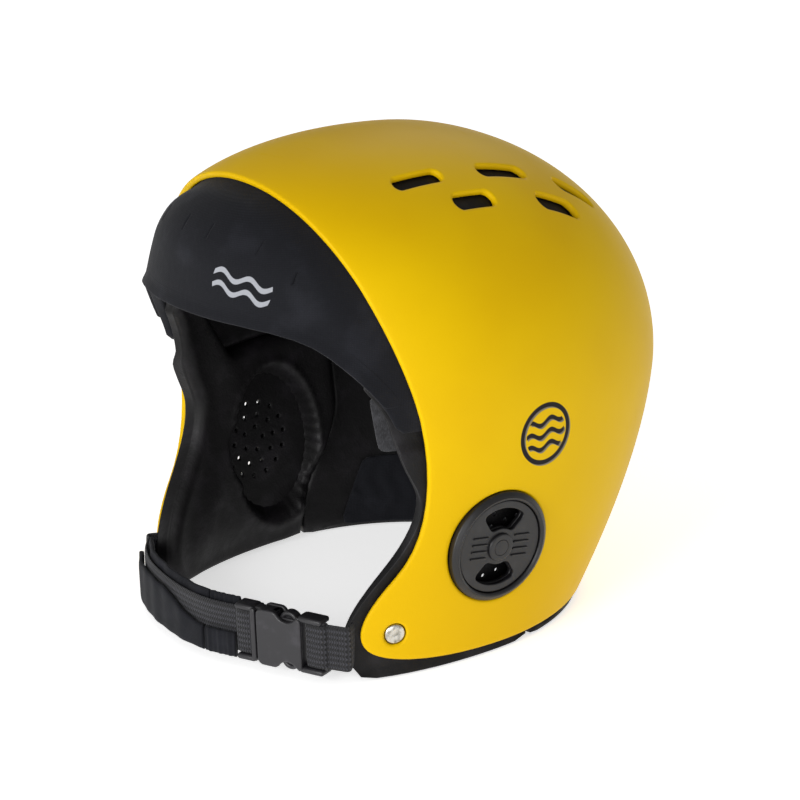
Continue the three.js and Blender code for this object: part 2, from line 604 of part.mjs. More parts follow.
function makeProng(sign) {
  const [low, up] = ARM_SPAN.map((z) => sign * z).sort((a, b) => a - b);
  const arm = box([BUTTON_AT - BUTTON_RADIUS, -GUIDE_HALF, low], [YOKE_LOW - GAP, GUIDE_HALF, up]);
  const head = crossDrum(BUTTON_AT, sign * BUTTON_LEVEL, BUTTON_RADIUS)
    .intersect(box([-30, -GUIDE_HALF, -30], [30, GUIDE_HALF, 30]));
  return arm.add(head);
}

const buckle = new THREE.Group();
buckle.applyMatrix4(buckleFrame);
helmet.add(buckle);
add("buckle_female", makeFemale(), BUCKLE_PLASTIC, buckle);
add("buckle_male", makeMale(), BUCKLE_PLASTIC, buckle);
add("prong_upper", makeProng(1), BUCKLE_PLASTIC, buckle);
add("prong_lower", makeProng(-1), BUCKLE_PLASTIC, buckle);

export default helmet;
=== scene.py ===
"""Open-face water-sports helmet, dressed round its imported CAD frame.

A thin moulded shell covers a foam liner. A neoprene band closes the brow, a rotary vent sits over
each ear, and a chin strap with a side-release buckle hangs from two rivets. Sizes are in
millimetres and each finished mesh is scaled to metres. +Z is up, the face opening looks along -Y
and +X is the wearer's left.
"""

import json
import logging
import math
from collections.abc import Callable, Iterable, Sequence
from dataclasses import dataclass, field
from enum import Enum

import bmesh
import bpy
import numpy as np
from mathutils import Matrix, Vector


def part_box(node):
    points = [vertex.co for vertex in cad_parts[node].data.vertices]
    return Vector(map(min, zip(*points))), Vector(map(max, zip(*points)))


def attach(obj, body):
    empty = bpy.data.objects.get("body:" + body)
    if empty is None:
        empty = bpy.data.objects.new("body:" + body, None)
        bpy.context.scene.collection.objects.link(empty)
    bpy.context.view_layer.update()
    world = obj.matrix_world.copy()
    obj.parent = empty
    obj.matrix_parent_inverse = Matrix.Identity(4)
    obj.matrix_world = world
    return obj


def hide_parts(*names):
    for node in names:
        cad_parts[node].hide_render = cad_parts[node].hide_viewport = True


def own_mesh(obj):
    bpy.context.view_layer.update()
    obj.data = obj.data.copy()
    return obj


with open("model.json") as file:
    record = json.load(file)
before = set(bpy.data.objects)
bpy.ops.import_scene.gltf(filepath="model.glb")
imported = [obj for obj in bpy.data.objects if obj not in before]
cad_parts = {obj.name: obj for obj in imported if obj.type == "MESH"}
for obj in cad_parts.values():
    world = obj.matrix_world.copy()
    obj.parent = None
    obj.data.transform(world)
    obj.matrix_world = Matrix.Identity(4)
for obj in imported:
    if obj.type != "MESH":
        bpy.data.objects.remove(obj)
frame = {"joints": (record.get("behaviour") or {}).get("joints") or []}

log = logging.getLogger("helmet")
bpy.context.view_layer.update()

MM = 0.001
GAP = 0.3  # clearance between neighbouring pieces
UNDER_SHELL = 3.3  # depth of what lies against the shell: its wall and a clearance
RELEASE_TRAVEL = 16.0  # how far the buckle slides apart
Array = np.ndarray
Field = Callable[[Array], Array]
Surface = Callable[[Array, "float | Array"], Array]
Pair = tuple[float, float]


class Body(str, Enum):
    """The CAD bodies that pieces ride on."""

    HELMET = "helmet"
    KNOB_LEFT = "vent_knob_left"
    KNOB_RIGHT = "vent_knob_right"
    STRAP = "chin_strap"
    INSERT = "buckle_insert"
    UPPER = "button_upper"
    LOWER = "button_lower"


class Slot(str, Enum):
    """The record's material slots."""

    SHELL = "shell"
    FOAM = "foam"
    NEOPRENE = "neoprene"
    FELT = "felt"
    VENT = "vent_plastic"
    BUCKLE = "buckle_plastic"
    WEBBING = "webbing"
    STEEL = "steel"


# ---------------------------------------------------------------- numbers on surfaces
def signed_power(value: Array, power: float) -> Array:
    """Each value's size to a power, with its own sign."""
    return np.sign(value) * np.abs(value) ** power


def smooth_step(low: float, high: float, value: Array) -> Array:
    """0 below low, 1 above high, and a smooth rise between."""
    t = np.clip((value - low) / (high - low), 0, 1)
    return t * t * (3 - 2 * t)


def blend_least(a: Array, b: Array, radius: float) -> Array:
    """The lesser of two distances, with the corner between them rounded off."""
    share = np.clip(0.5 + 0.5 * (b - a) / radius, 0, 1)
    return b * (1 - share) + a * share - radius * share * (1 - share)


def distance_inside(points: Array, polygon: Array) -> Array:
    """Distance of flat points from a closed polygon's edge.

    Args:
        points: (n, 2) places to measure.
        polygon: (m, 2) corners in order.

    Returns:
        (n,) distances, positive inside the polygon.
    """
    best = np.full(len(points), np.inf)
    inside = np.zeros(len(points), bool)
    for start, end in zip(polygon, np.roll(polygon, -1, axis=0)):
        edge = end - start
        reach = max(float(edge @ edge), 1e-12)
        share = np.clip(((points - start) @ edge) / reach, 0, 1)
        best = np.minimum(best, np.linalg.norm(points - start - share[:, None] * edge, axis=1))
        if edge[1] != 0:
            crosses = (start[1] > points[:, 1]) != (end[1] > points[:, 1])
            where = start[0] + (points[:, 1] - start[1]) * edge[0] / edge[1]
            inside ^= crosses & (points[:, 0] < where)
    return np.where(inside, best, -best)


def capsule_distance(points: Array, start: Array, end: Array) -> Array:
    """Distance of points from the straight line between two others.

    Args:
        points: (n, k) places to measure.
        start: one end of the line.
        end: its other end.

    Returns:
        (n,) distances.
    """
    edge = end - start
    share = np.clip(((points - start) @ edge) / max(float(edge @ edge), 1e-12), 0, 1)
    return np.linalg.norm(points - start - share[:, None] * edge, axis=1)


def smooth_route(points: Sequence[Sequence[float]], count: int) -> Array:
    """Evenly spaced places on a centripetal Catmull-Rom curve through points.

    Args:
        points: the places that the curve passes through.
        count: how many places to return.

    Returns:
        (count, 3) places along the curve.
    """
    given = np.array(points, float)
    held = np.vstack([2 * given[0] - given[1], given, 2 * given[-1] - given[-2]])
    fine = []
    for p0, p1, p2, p3 in zip(held, held[1:], held[2:], held[3:]):
        steps = [math.sqrt(np.linalg.norm(b - a)) for a, b in ((p0, p1), (p1, p2), (p2, p3))]
        knots = np.cumsum([0] + steps)
        t = np.linspace(knots[1], knots[2], 24, endpoint=False)[:, None]
        t0, t1, t2, t3 = knots
        a1 = ((t1 - t) * p0 + (t - t0) * p1) / (t1 - t0)
        a2 = ((t2 - t) * p1 + (t - t1) * p2) / (t2 - t1)
        a3 = ((t3 - t) * p2 + (t - t2) * p3) / (t3 - t2)
        b1 = ((t2 - t) * a1 + (t - t0) * a2) / (t2 - t0)
        b2 = ((t3 - t) * a2 + (t - t1) * a3) / (t3 - t1)
        fine.extend(((t2 - t) * b1 + (t - t1) * b2) / (t2 - t1))
    fine.append(given[-1])
    line = np.array(fine)
    reach = np.concatenate([[0], np.cumsum(np.linalg.norm(np.diff(line, axis=0), axis=1))])
    wanted = np.linspace(0, reach[-1], count)
    return np.stack([np.interp(wanted, reach, line[:, axis]) for axis in range(3)], axis=1)


# ---------------------------------------------------------------- the head form
@dataclass(frozen=True)
class HeadForm:
    """The shell's outer surface, upright on its own axis, which leans back.

    Every layer of the helmet follows it, moved inwards by an inset.
    """

    half_width: float = 94.0
    front_reach: float = 107.8
    back_reach: float = 122.9
    crown_height: float = 98.5
    widest_level: float = 107.0
    brow_level: float = 50.5
    lean: float = math.radians(7.5)
    y_shift: float = -7.85
    plan_power: float = 2.16
    crown_power: float = 1.97
    brow_power: float = 2.15
    side_taper: Pair = (0.1, 1.41)
    back_taper: Pair = (0.3, 1.83)

    def section(self, level: Array, inset: float | Array) -> tuple[Array, Array, Array]:
        """Half width, front reach and back reach at levels above the widest one.

        Args:
            level: heights above the widest level.
            inset: how far the wall is moved inwards.

        Returns:
            Half width, front reach and back reach at each height.
        """
        crown = self.crown_height - inset

        def dome(height: Array, full: float | Array, power: float) -> Array:
            """Share of the full reach left at a height on the way to the crown."""
            return np.sqrt(np.maximum(0, 1 - (np.maximum(0, height) / full) ** power))

        def closing(taper: Pair) -> Array:
            """The dome above the widest level and a taper below it."""
            below = 1 - taper[0] * (np.maximum(0, -level) / 100) ** taper[1]
            return np.where(level > 0, dome(level, crown, self.crown_power), below)

        front = dome(level - self.brow_level, crown - self.brow_level, self.brow_power)
        return (
            (self.half_width - inset) * closing(self.side_taper),
            (self.front_reach - inset) * front,
            (self.back_reach - inset) * closing(self.back_taper),
        )

    def leaned(self, across: Array, along: Array, level: Array) -> Array:
        """Places in the helmet's frame of places in the form's own one.

        Args:
            across: X in the form's own frame.
            along: Y in it.
            level: Z in it, from the widest level.

        Returns:
            (n, 3) places.
        """
        cos, sin = math.cos(self.lean), math.sin(self.lean)
        y = along * cos + level * sin + self.y_shift
        return np.stack([across, y, level * cos - along * sin + self.widest_level], axis=1)

    def surface(self, directions: Array, inset: float | Array) -> Array:
        """Places on the form along directions from its middle.

        Args:
            directions: (n, 3) directions of any length.
            inset: how far the wall is moved inwards, for all or for each.

        Returns:
            (n, 3) places in the helmet's frame.
        """
        unit = directions / np.linalg.norm(directions, axis=1, keepdims=True)
        x, y, z = unit.T
        crown = self.crown_height - inset
        level = np.where(z > 0, crown * z, self.crown_height * np.arcsin(np.clip(z, -1, 0)))
        side, front, back = self.section(level, inset)
        radial = np.maximum(np.hypot(x, y), 1e-9)
        across = side * signed_power(x / radial, 2 / self.plan_power)
        along = signed_power(y / radial, 2 / self.plan_power)
        return self.leaned(across, along * np.where(y < 0, front, back), level)

    def wall_x(self, y: float, z: float, inset: float) -> float:
        """X of the left wall where a side view shows a place.

        Args:
            y: the place's Y.
            z: its Z.
            inset: how far the wall is moved inwards.

        Returns:
            The X, or 0 off the form.
        """
        cos, sin = math.cos(self.lean), math.sin(self.lean)
        dy, dz = y - self.y_shift, z - self.widest_level
        along, level = dy * cos - dz * sin, dy * sin + dz * cos
        side, front, back = (float(v) for v in self.section(np.array(level), inset))
        share = abs(along / (front if along < 0 else back)) ** self.plan_power
        return side * max(0.0, 1 - share) ** (1 / self.plan_power)

    def wall_frame(self, y: float, z: float, side: int) -> Matrix:
        """A frame on the wall: local Z points out of it and local Y points up along it.

        Args:
            y: the place's Y.
            z: its Z.
            side: 1 for the wearer's left, -1 for the right.

        Returns:
            The frame's matrix.
        """
        step = 0.5
        slope_y = (self.wall_x(y + step, z, 0) - self.wall_x(y - step, z, 0)) / (2 * step)
        slope_z = (self.wall_x(y, z + step, 0) - self.wall_x(y, z - step, 0)) / (2 * step)
        out = Vector((side, -slope_y, -slope_z)).normalized()
        up = (Vector((0, 0, 1)) - out * out.z).normalized()
        place = Vector((side * self.wall_x(y, z, 0), y, z))
        return frame_matrix(up.cross(out), up, out, place)


def frame_matrix(x: Vector, y: Vector, z: Vector, place: Vector) -> Matrix:
    """The matrix of a frame from its three axes and its place.

    Args:
        x: the frame's first axis.
        y: its second axis.
        z: its third axis.
        place: its origin.

    Returns:
        The 4 by 4 matrix.
    """
    matrix = Matrix((x, y, z)).transposed().to_4x4()
    matrix.translation = place
    return matrix


FORM = HeadForm()


def outline(corners: Sequence[Pair], steps: int = 10) -> Array:
    """A side-view outline with rounded corners.

    Args:
        corners: [y, z] corners, the first and last being its ends.
        steps: pieces of each rounded corner.

    Returns:
        (n, 2) places, shifted to the helmet's frame.
    """
    places = [np.array(corners[0], float)]
    for i in range(1, len(corners) - 1):
        start, corner, end = places[-1], np.array(corners[i], float), np.array(corners[i + 1], float)
        if i < len(corners) - 2:
            end = (corner + end) / 2
        for t in np.linspace(0, 1, steps + 1)[1:]:
            places.append((1 - t) ** 2 * start + 2 * t * (1 - t) * corner + t * t * end)
    return np.array(places) + [FORM.y_shift, 0]


def region_behind(corners: Sequence[Pair]) -> Array:
    """The closed side-view region behind an edge that ends going back along the rim."""
    edge = outline(corners)
    back, top = 220.0, 320.0
    return np.vstack([edge, [back, edge[-1][1]], [back, top], [edge[0][0], top]])


RIM = 3.2
SHELL_REGION = region_behind([(-80, 240), (-62, 176), (-39, 67), (-81, 22), (-60, RIM), (0, RIM)])
FACE_CORNERS = ((-150, 143), (-93, 160), (-58.5, 119.5), (-54, 95), (-41, 68),
                (-80, 24), (-73, 1), (-60, 0), (0, 0))
OPENING_REGION = region_behind(FACE_CORNERS)
EAR = (-13.6 + FORM.y_shift, 48.8)
RIVET = (-60.3 + FORM.y_shift, 19.5)
CROWN_SPLIT = 95.0  # level of the crown pad's lower edge behind the temples
CROWN_SPLIT_RISE = 38.0  # how much higher it is at the brow
SIDE_SPLIT = 31.0  # where a side pad ends, high up
SIDE_SPLIT_SWEEP = 24.0  # how much further forward it ends at the rim
BAND_COVER = 16.0  # how far behind the shell's edge the pads make room for the band
STEP_LEVELS = (94, 104)  # between these levels a pad steps inwards for the band
BAND_SWELL = 2.0
FLARE = 2.4
FLARE_LEVELS = (1.7, 2.8)
FAR = 1e3  # stands for a distance too great to matter


def side_view(points: Array) -> Array:
    """The [y, z] of places."""
    return points[:, 1:3]


def behind_shell_edge(points: Array) -> Array:
    """Distance behind the shell's front edge and above its rim."""
    return distance_inside(side_view(points), SHELL_REGION)


def behind_opening(points: Array) -> Array:
    """Distance behind the edge of the face opening and above the table."""
    return distance_inside(side_view(points), OPENING_REGION)


def splits(points: Array) -> tuple[Array, Array]:
    """Where the liner's pads meet: the level under the crown pad, and the Y behind a side pad."""
    y, z = points[:, 1] - FORM.y_shift, points[:, 2]
    level = CROWN_SPLIT + CROWN_SPLIT_RISE * smooth_step(28, 60, -y)
    return level, SIDE_SPLIT - SIDE_SPLIT_SWEEP * (1 - smooth_step(6, 60, z)) + FORM.y_shift


def under_band(points: Array) -> Array:
    """How much of the brow band's wall the pads make room for, from 0 to 1."""
    ahead = smooth_step(0.0, 2.5, BAND_COVER - behind_shell_edge(points))
    return ahead * smooth_step(*STEP_LEVELS, points[:, 2])


def band_swell(points: Array) -> Array:
    """How far the brow band swells out in front of the shell's edge."""
    return BAND_SWELL * smooth_step(1.0, 13.0, -behind_shell_edge(points))


def flared_rim(bm: bmesh.types.BMesh) -> bmesh.types.BMesh:
    """The mesh with its foot pushed outwards under the shell's rim.

    Args:
        bm: a pad's mesh in millimetres, which is changed.

    Returns:
        The same mesh.
    """
    for vert in bm.verts:
        share = 1 - float(smooth_step(*FLARE_LEVELS, np.array(vert.co.z)))
        if share > 0:
            away = Vector((vert.co.x, vert.co.y - FORM.y_shift, 0)).normalized()
            vert.co += away * FLARE * share
    return bm


def from_axis(points: Array, place: Pair) -> Array:
    """Distance of places from the wall's normal line at a place on both sides of the helmet.

    Args:
        points: (n, 3) places in the helmet's frame.
        place: [y, z] of the line's foot on the wall.

    Returns:
        (n,) distances.
    """
    matrix = FORM.wall_frame(*place, 1)
    origin, out = np.array(matrix.translation), np.array(matrix.col[2].xyz)
    reach = points - origin
    reach[:, 0] = np.abs(points[:, 0]) - origin[0]
    return np.linalg.norm(reach - (reach @ out)[:, None] * out, axis=1)


# ---------------------------------------------------------------- meshes
def coordinates(verts: Iterable[bmesh.types.BMVert]) -> Array:
    """The places of vertices as rows."""
    return np.array([v.co[:] for v in verts], float).reshape(-1, 3)


@dataclass(frozen=True)
class EdgeShape:
    """The rounded edge of a wall, from its outer face to its inner one."""

    outer: float
    inner: float
    ridge: float = 0.0
    steps: int = 4

    @property
    def reach(self) -> float:
        """How far the edge stands out past the trimmed line."""
        return max(self.outer, self.inner)

    def profile(self, wall: float) -> list[Pair]:
        """(share of the way through the wall, distance out) for each ring of the edge.

        Args:
            wall: the wall's thickness.

        Returns:
            The rings, ending on the inner face.
        """
        outer, inner = min(self.outer, 0.49 * wall), min(self.inner, 0.49 * wall)
        turn = [i / self.steps * math.pi / 2 for i in range(self.steps + 1)]
        rings = [(outer * (1 - math.cos(a)) / wall, self.reach - outer * (1 - math.sin(a))) for a in turn]
        if self.ridge:
            width = 0.6 / wall
            rings += [(0.5 - width, self.reach), (0.5, self.reach + self.ridge), (0.5 + width, self.reach)]
        rings += [(1 - inner * (1 - math.cos(a)) / wall, self.reach - inner * (1 - math.sin(a)))
                  for a in reversed(turn)]
        return rings + [(1.0, 0.0)]


class TrimmedSheet:
    """A sheet of quads over a surface, cut along smooth lines and given a wall with round edges."""

    SNAP = 0.3

    def __init__(self, bm: bmesh.types.BMesh, surface: Surface, level: float = 0.0) -> None:
        """Starts from a base mesh.

        Args:
            bm: the base, whose places are the surface's own coordinates.
            surface: gives places in the helmet's frame at a depth below the outer face.
            level: the depth at which the cutting lines are measured.
        """
        self.bm, self.surface, self.level = bm, surface, level

    @classmethod
    def over_form(cls, cells: int, inset: float) -> "TrimmedSheet":
        """A sheet all over the head form, from a subdivided cube blown up to a ball.

        Args:
            cells: cells along each edge of the cube.
            inset: the depth at which cutting lines are measured.

        Returns:
            The sheet.
        """
        bm = bmesh.new()
        bmesh.ops.create_cube(bm, size=2)
        bmesh.ops.subdivide_edges(bm, edges=bm.edges[:], cuts=cells - 1, use_grid_fill=True)
        for vert in bm.verts:
            vert.co = Vector([math.tan(c * math.pi / 4) for c in vert.co]).normalized()
        return cls(bm, FORM.surface, inset)

    @classmethod
    def flat(cls, width: float, height: float, cell: float) -> "TrimmedSheet":
        """A flat sheet round the origin, facing +Z.

        Args:
            width: its size along X.
            height: its size along Y.
            cell: the size of its cells.

        Returns:
            The sheet.
        """
        bm = bmesh.new()
        columns, rows = round(width / cell), round(height / cell)
        bmesh.ops.create_grid(bm, x_segments=columns, y_segments=rows, size=0.5)
        bmesh.ops.scale(bm, vec=(width, height, 1), verts=bm.verts[:])

        def below(places: Array, depth: float | Array) -> Array:
            """Places sunk below the flat face by a depth."""
            return places - np.outer(np.broadcast_to(depth, len(places)), (0, 0, 1))

        return cls(bm, below)

    def measured(self, line: Field, verts: Sequence[bmesh.types.BMVert]) -> Array:
        """A field's values at vertices."""
        return line(self.surface(coordinates(verts), self.level))

    def refine(self, line: Field, band: float) -> "TrimmedSheet":
        """Halves the cells within a band of a line.

        Args:
            line: a field that is 0 on the line.
            band: how far from the line cells are halved.

        Returns:
            This sheet.
        """
        self.bm.verts.ensure_lookup_table()
        self.bm.verts.index_update()
        near = np.abs(self.measured(line, self.bm.verts)) < band
        edges = [e for e in self.bm.edges if near[e.verts[0].index] and near[e.verts[1].index]]
        bmesh.ops.subdivide_edges(self.bm, edges=edges, cuts=1, use_grid_fill=True)
        return self

    def crossings(self, line: Field, ends: Sequence[tuple[Vector, Vector]]) -> Array:
        """How far along each edge, from its positive end, the line crosses it.

        Args:
            line: a field that is 0 on the line.
            ends: each edge's positive and negative end.

        Returns:
            (n,) shares of each edge.
        """
        inner = np.array([a[:] for a, _ in ends], float).reshape(-1, 3)
        outer = np.array([b[:] for _, b in ends], float).reshape(-1, 3)
        low, high = np.zeros(len(ends)), np.ones(len(ends))
        for _ in range(12):
            middle = (low + high) / 2
            places = inner + middle[:, None] * (outer - inner)
            kept = line(self.surface(places, self.level)) > 0
            low, high = np.where(kept, middle, low), np.where(kept, high, middle)
        return (low + high) / 2

    def trim(self, line: Field) -> "TrimmedSheet":
        """Cuts the sheet along a line and drops the part where the field is negative.

        Args:
            line: a field that is 0 on the line.

        Returns:
            This sheet.
        """
        bm = self.bm
        bm.verts.ensure_lookup_table()
        bm.verts.index_update()
        values = dict(zip(bm.verts, self.measured(line, bm.verts)))
        outside = [f for f in bm.faces if all(values[v] < 0 for v in f.verts)]
        bmesh.ops.delete(bm, geom=outside, context="FACES")

        def crossed() -> list[tuple]:
            """Edges that the line crosses, each with its positive and its negative end."""
            found = []
            for edge in bm.edges:
                a, b = edge.verts
                if values[a] * values[b] < 0:
                    found.append((edge, a, b) if values[a] > 0 else (edge, b, a))
            return found

        cut = crossed()
        shares = self.crossings(line, [(a.co, b.co) for _, a, b in cut])
        nearest: dict = {}
        for (_, a, b), share in zip(cut, shares):
            for vert, other, part in ((a, b, share), (b, a, 1 - share)):
                if part < self.SNAP and part < nearest.get(vert, (1.0, None))[0]:
                    nearest[vert] = (part, vert.co.lerp(other.co, part))
        for vert, (_, place) in nearest.items():
            vert.co = place
            values[vert] = 0.0
        cut = crossed()
        shares = self.crossings(line, [(a.co, b.co) for _, a, b in cut])
        for (edge, a, b), share in zip(cut, shares):
            place = a.co.lerp(b.co, share)
            _, new = bmesh.utils.edge_split(edge, a, min(max(share, 0.01), 0.99))
            new.co = place
            values[new] = 0.0
        on_line = [v for v in bm.verts if values[v] == 0.0]
        bmesh.ops.connect_verts(bm, verts=on_line)
        doubtful = [f for f in bm.faces if all(values[v] == 0.0 for v in f.verts)]
        centres = [f.calc_center_median() for f in doubtful]
        middles = dict(zip(doubtful, line(self.surface(np.array(centres).reshape(-1, 3), self.level))
                           if centres else []))
        dropped = [f for f in bm.faces
                   if (middles[f] if f in middles else sum(values[v] for v in f.verts)) < 0]
        bmesh.ops.delete(bm, geom=dropped, context="FACES")
        return self

    def thicken(self, outer: float | Field, inner: float | Field, edge: EdgeShape) -> bmesh.types.BMesh:
        """Gives the sheet its wall.

        Args:
            outer: depth of the outer face, or a function of the places on the sheet.
            inner: depth of the inner face, likewise.
            edge: the shape of the wall's free edges.

        Returns:
            The finished closed mesh, in millimetres.
        """
        bm = self.bm
        verts = list(bm.verts)
        rows = coordinates(verts)
        sheet = self.surface(rows, self.level)
        depths = [value(sheet) if callable(value) else np.full(len(rows), float(value))
                  for value in (outer, inner)]
        faces_out, faces_in = (self.surface(rows, depth) for depth in depths)
        for vert, place in zip(verts, faces_out):
            vert.co = place
        bm.normal_update()
        outer_faces = list(bm.faces)
        rim = [e for e in bm.edges if e.is_boundary]
        outward: dict = {}
        for rim_edge in rim:
            loop = rim_edge.link_loops[0]
            here, there = loop.vert, loop.link_loop_next.vert
            away = (there.co - here.co).cross(loop.face.normal)
            for vert in (here, there):
                outward[vert] = outward.get(vert, Vector()) + away
        for vert, away in outward.items():
            outward[vert] = (away - vert.normal * away.dot(vert.normal)).normalized()
        copy = bmesh.ops.duplicate(bm, geom=outer_faces + list(bm.edges) + verts)
        twins = copy["vert_map"]
        inside = {vert: twins[vert] for vert in verts}
        for vert, place in zip(verts, faces_in):
            inside[vert].co = place
        bmesh.ops.reverse_faces(bm, faces=[g for g in copy["geom"] if isinstance(g, bmesh.types.BMFace)])
        starts = {vert: (vert.co.copy(), inside[vert].co.copy(), outward[vert]) for vert in outward}
        wall = float(np.mean([(a - b).length for a, b, _ in starts.values()]))
        origin = {vert: vert for vert in outward}
        ring = rim
        for share, out in edge.profile(wall):
            made = bmesh.ops.extrude_edge_only(bm, edges=ring)["geom"]
            ring = [g for g in made if isinstance(g, bmesh.types.BMEdge)]
            fresh = [g for g in made if isinstance(g, bmesh.types.BMVert)]
            latest = {}
            for vert in fresh:
                for link in vert.link_edges:
                    before = link.other_vert(vert)
                    if before in origin:
                        latest[vert] = origin[before]
            for vert, first in latest.items():
                start, end, away = starts[first]
                vert.co = start.lerp(end, share) + away * out
            origin = latest
        bmesh.ops.weld_verts(bm, targetmap={vert: inside[first] for vert, first in origin.items()})
        bmesh.ops.dissolve_degenerate(bm, dist=1e-5, edges=bm.edges[:])
        return bm


@dataclass(frozen=True)
class Fitting:
    """How a finished mesh joins the model."""

    name: str
    body: Body
    slot: Slot
    replaces: tuple[str, ...] = ()

    def place(self, bm: bmesh.types.BMesh, material: bpy.types.Material) -> bpy.types.Object:
        """Turns a mesh in millimetres into a piece that rides on its body.

        Args:
            bm: the mesh, which is freed.
            material: its finish.

        Returns:
            The new object, at the origin.
        """
        bmesh.ops.scale(bm, vec=(MM, MM, MM), verts=bm.verts[:])
        mesh = bpy.data.meshes.new(self.name)
        bm.to_mesh(mesh)
        bm.free()
        mesh.shade_smooth()
        mesh.materials.append(material)
        piece = bpy.data.objects.new(self.name, mesh)
        bpy.context.scene.collection.objects.link(piece)
        if self.replaces:
            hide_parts(*self.replaces)
        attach(piece, self.body.value)
        log.info("%s: %d faces on %s", self.name, len(mesh.polygons), self.body.value)
        return piece


def turned(profile: Sequence[Pair], steps: int = 72) -> bmesh.types.BMesh:
    """A closed turned piece about Z from (radius, height) corners, bottom up on the outside.

    Args:
        profile: corners in order; a profile that starts on the axis is left open there.
        steps: steps of the full turn.

    Returns:
        The mesh.
    """
    bm = bmesh.new()
    verts = [bm.verts.new((r, 0, z)) for r, z in profile]
    closed = profile[0][0] > 0
    pairs = zip(verts, verts[1:] + verts[:1] if closed else verts[1:])
    edges = [bm.edges.new(pair) for pair in pairs]
    bmesh.ops.spin(bm, geom=verts + edges, cent=(0, 0, 0), axis=(0, 0, 1), angle=2 * math.pi,
                   steps=steps, use_merge=True)
    bmesh.ops.remove_doubles(bm, verts=bm.verts[:], dist=1e-4)
    bmesh.ops.recalc_face_normals(bm, faces=bm.faces[:])
    return bm


def rounded(corners: Sequence[tuple[float, float, float]], steps: int = 4) -> list[Pair]:
    """An outline whose corners are rounded off.

    Args:
        corners: (x, y, radius) of each corner in order.
        steps: pieces of each rounded corner.

    Returns:
        The outline's points.
    """
    made: list[Pair] = []
    count = len(corners)
    for i, (x, y, radius) in enumerate(corners):
        here = Vector((x, y))
        if radius == 0:
            made.append((x, y))
            continue
        before = (Vector(corners[i - 1][:2]) - here).normalized() * radius
        after = (Vector(corners[(i + 1) % count][:2]) - here).normalized() * radius
        for t in (k / steps for k in range(steps + 1)):
            place = here + before * (1 - t) ** 2 + after * t ** 2
            made.append((place.x, place.y))
    return made


def joined(*parts: bmesh.types.BMesh) -> bmesh.types.BMesh:
    """Several meshes as one, the first of them.

    Args:
        parts: the meshes, of which all but the first are freed.

    Returns:
        The first mesh.
    """
    first = parts[0]
    for part in parts[1:]:
        mesh = bpy.data.meshes.new("part")
        part.to_mesh(mesh)
        part.free()
        first.from_mesh(mesh)
        bpy.data.meshes.remove(mesh)
    return first


def block(low: Sequence[float], high: Sequence[float], radius: float,
          segments: int = 3) -> bmesh.types.BMesh:
    """A box between two corners with all its edges rounded.

    Args:
        low: its lowest corner.
        high: its highest corner.
        radius: how far the bevel takes each edge back.
        segments: pieces of each bevel.

    Returns:
        The mesh.
    """
    bm = bmesh.new()
    bmesh.ops.create_cube(bm, size=1)
    size = [b - a for a, b in zip(low, high)]
    bmesh.ops.scale(bm, vec=size, verts=bm.verts[:])
    bmesh.ops.translate(bm, vec=[(a + b) / 2 for a, b in zip(low, high)], verts=bm.verts[:])
    bmesh.ops.bevel(bm, geom=bm.edges[:], offset=radius, offset_type="OFFSET", segments=segments,
                    profile=0.5, affect="EDGES", material=-1)
    return bm


def moved(bm: bmesh.types.BMesh, matrix: Matrix) -> bmesh.types.BMesh:
    """The mesh taken to a frame, its faces pointing out whichever hand the frame has.

    Args:
        bm: the mesh, which is changed.
        matrix: the frame.

    Returns:
        The same mesh.
    """
    bm.transform(matrix)
    if matrix.to_3x3().determinant() < 0:
        bmesh.ops.reverse_faces(bm, faces=bm.faces[:])
    return bm


@dataclass(frozen=True)
class Ribbon:
    """A flat strap along a route, with rounded edges and its own UV in metres."""

    width: float
    wall: float
    around: int = 28
    roundness: float = 0.4

    def build(self, route: Array, across: Array, offset: float | Array = 0.0,
              lift: float | Array = 0.0, widths: Array | None = None) -> bmesh.types.BMesh:
        """The strap's closed mesh.

        Args:
            route: (n, 3) places of its middle line.
            across: (n, 3) or (3,) direction of its width.
            offset: distance from the route out of its flat face, for all or for each place.
            lift: distance from the route along its width, likewise.
            widths: its width as a share at each place.

        Returns:
            A mesh in millimetres.
        """
        count = len(route)
        tangent = np.gradient(route, axis=0)
        tangent /= np.linalg.norm(tangent, axis=1, keepdims=True)
        across = np.broadcast_to(across, route.shape)
        out = np.cross(tangent, across)
        out /= np.linalg.norm(out, axis=1, keepdims=True)
        reach = np.concatenate([[0], np.cumsum(np.linalg.norm(np.diff(route, axis=0), axis=1))])
        widths = np.ones(count) if widths is None else widths
        offsets, lifts = np.broadcast_to(offset, count), np.broadcast_to(lift, count)
        bm = bmesh.new()
        bmesh.ops.create_grid(bm, x_segments=count - 1, y_segments=self.around, size=1, calc_uvs=True)
        layer = bm.loops.layers.uv.verify()
        shape = {}
        for vert in bm.verts:
            i = round((vert.co.x + 1) / 2 * (count - 1))
            angle = (vert.co.y + 1) * math.pi
            c, s = math.cos(angle), math.sin(angle)
            side = math.copysign(abs(c) ** self.roundness, c) * self.width / 2 * widths[i]
            high = math.copysign(abs(s) ** 0.75, s) * self.wall / 2
            shape[vert] = (reach[i], side)
            vert.co = route[i] + (side + lifts[i]) * across[i] + (high + offsets[i]) * out[i]
        for face in bm.faces:
            for loop in face.loops:
                along, side = shape[loop.vert]
                loop[layer].uv = (along * MM, side * MM)
        bmesh.ops.remove_doubles(bm, verts=bm.verts[:], dist=1e-4)
        bmesh.ops.holes_fill(bm, edges=[e for e in bm.edges if e.is_boundary], sides=0)
        bmesh.ops.recalc_face_normals(bm, faces=bm.faces[:])
        return bm


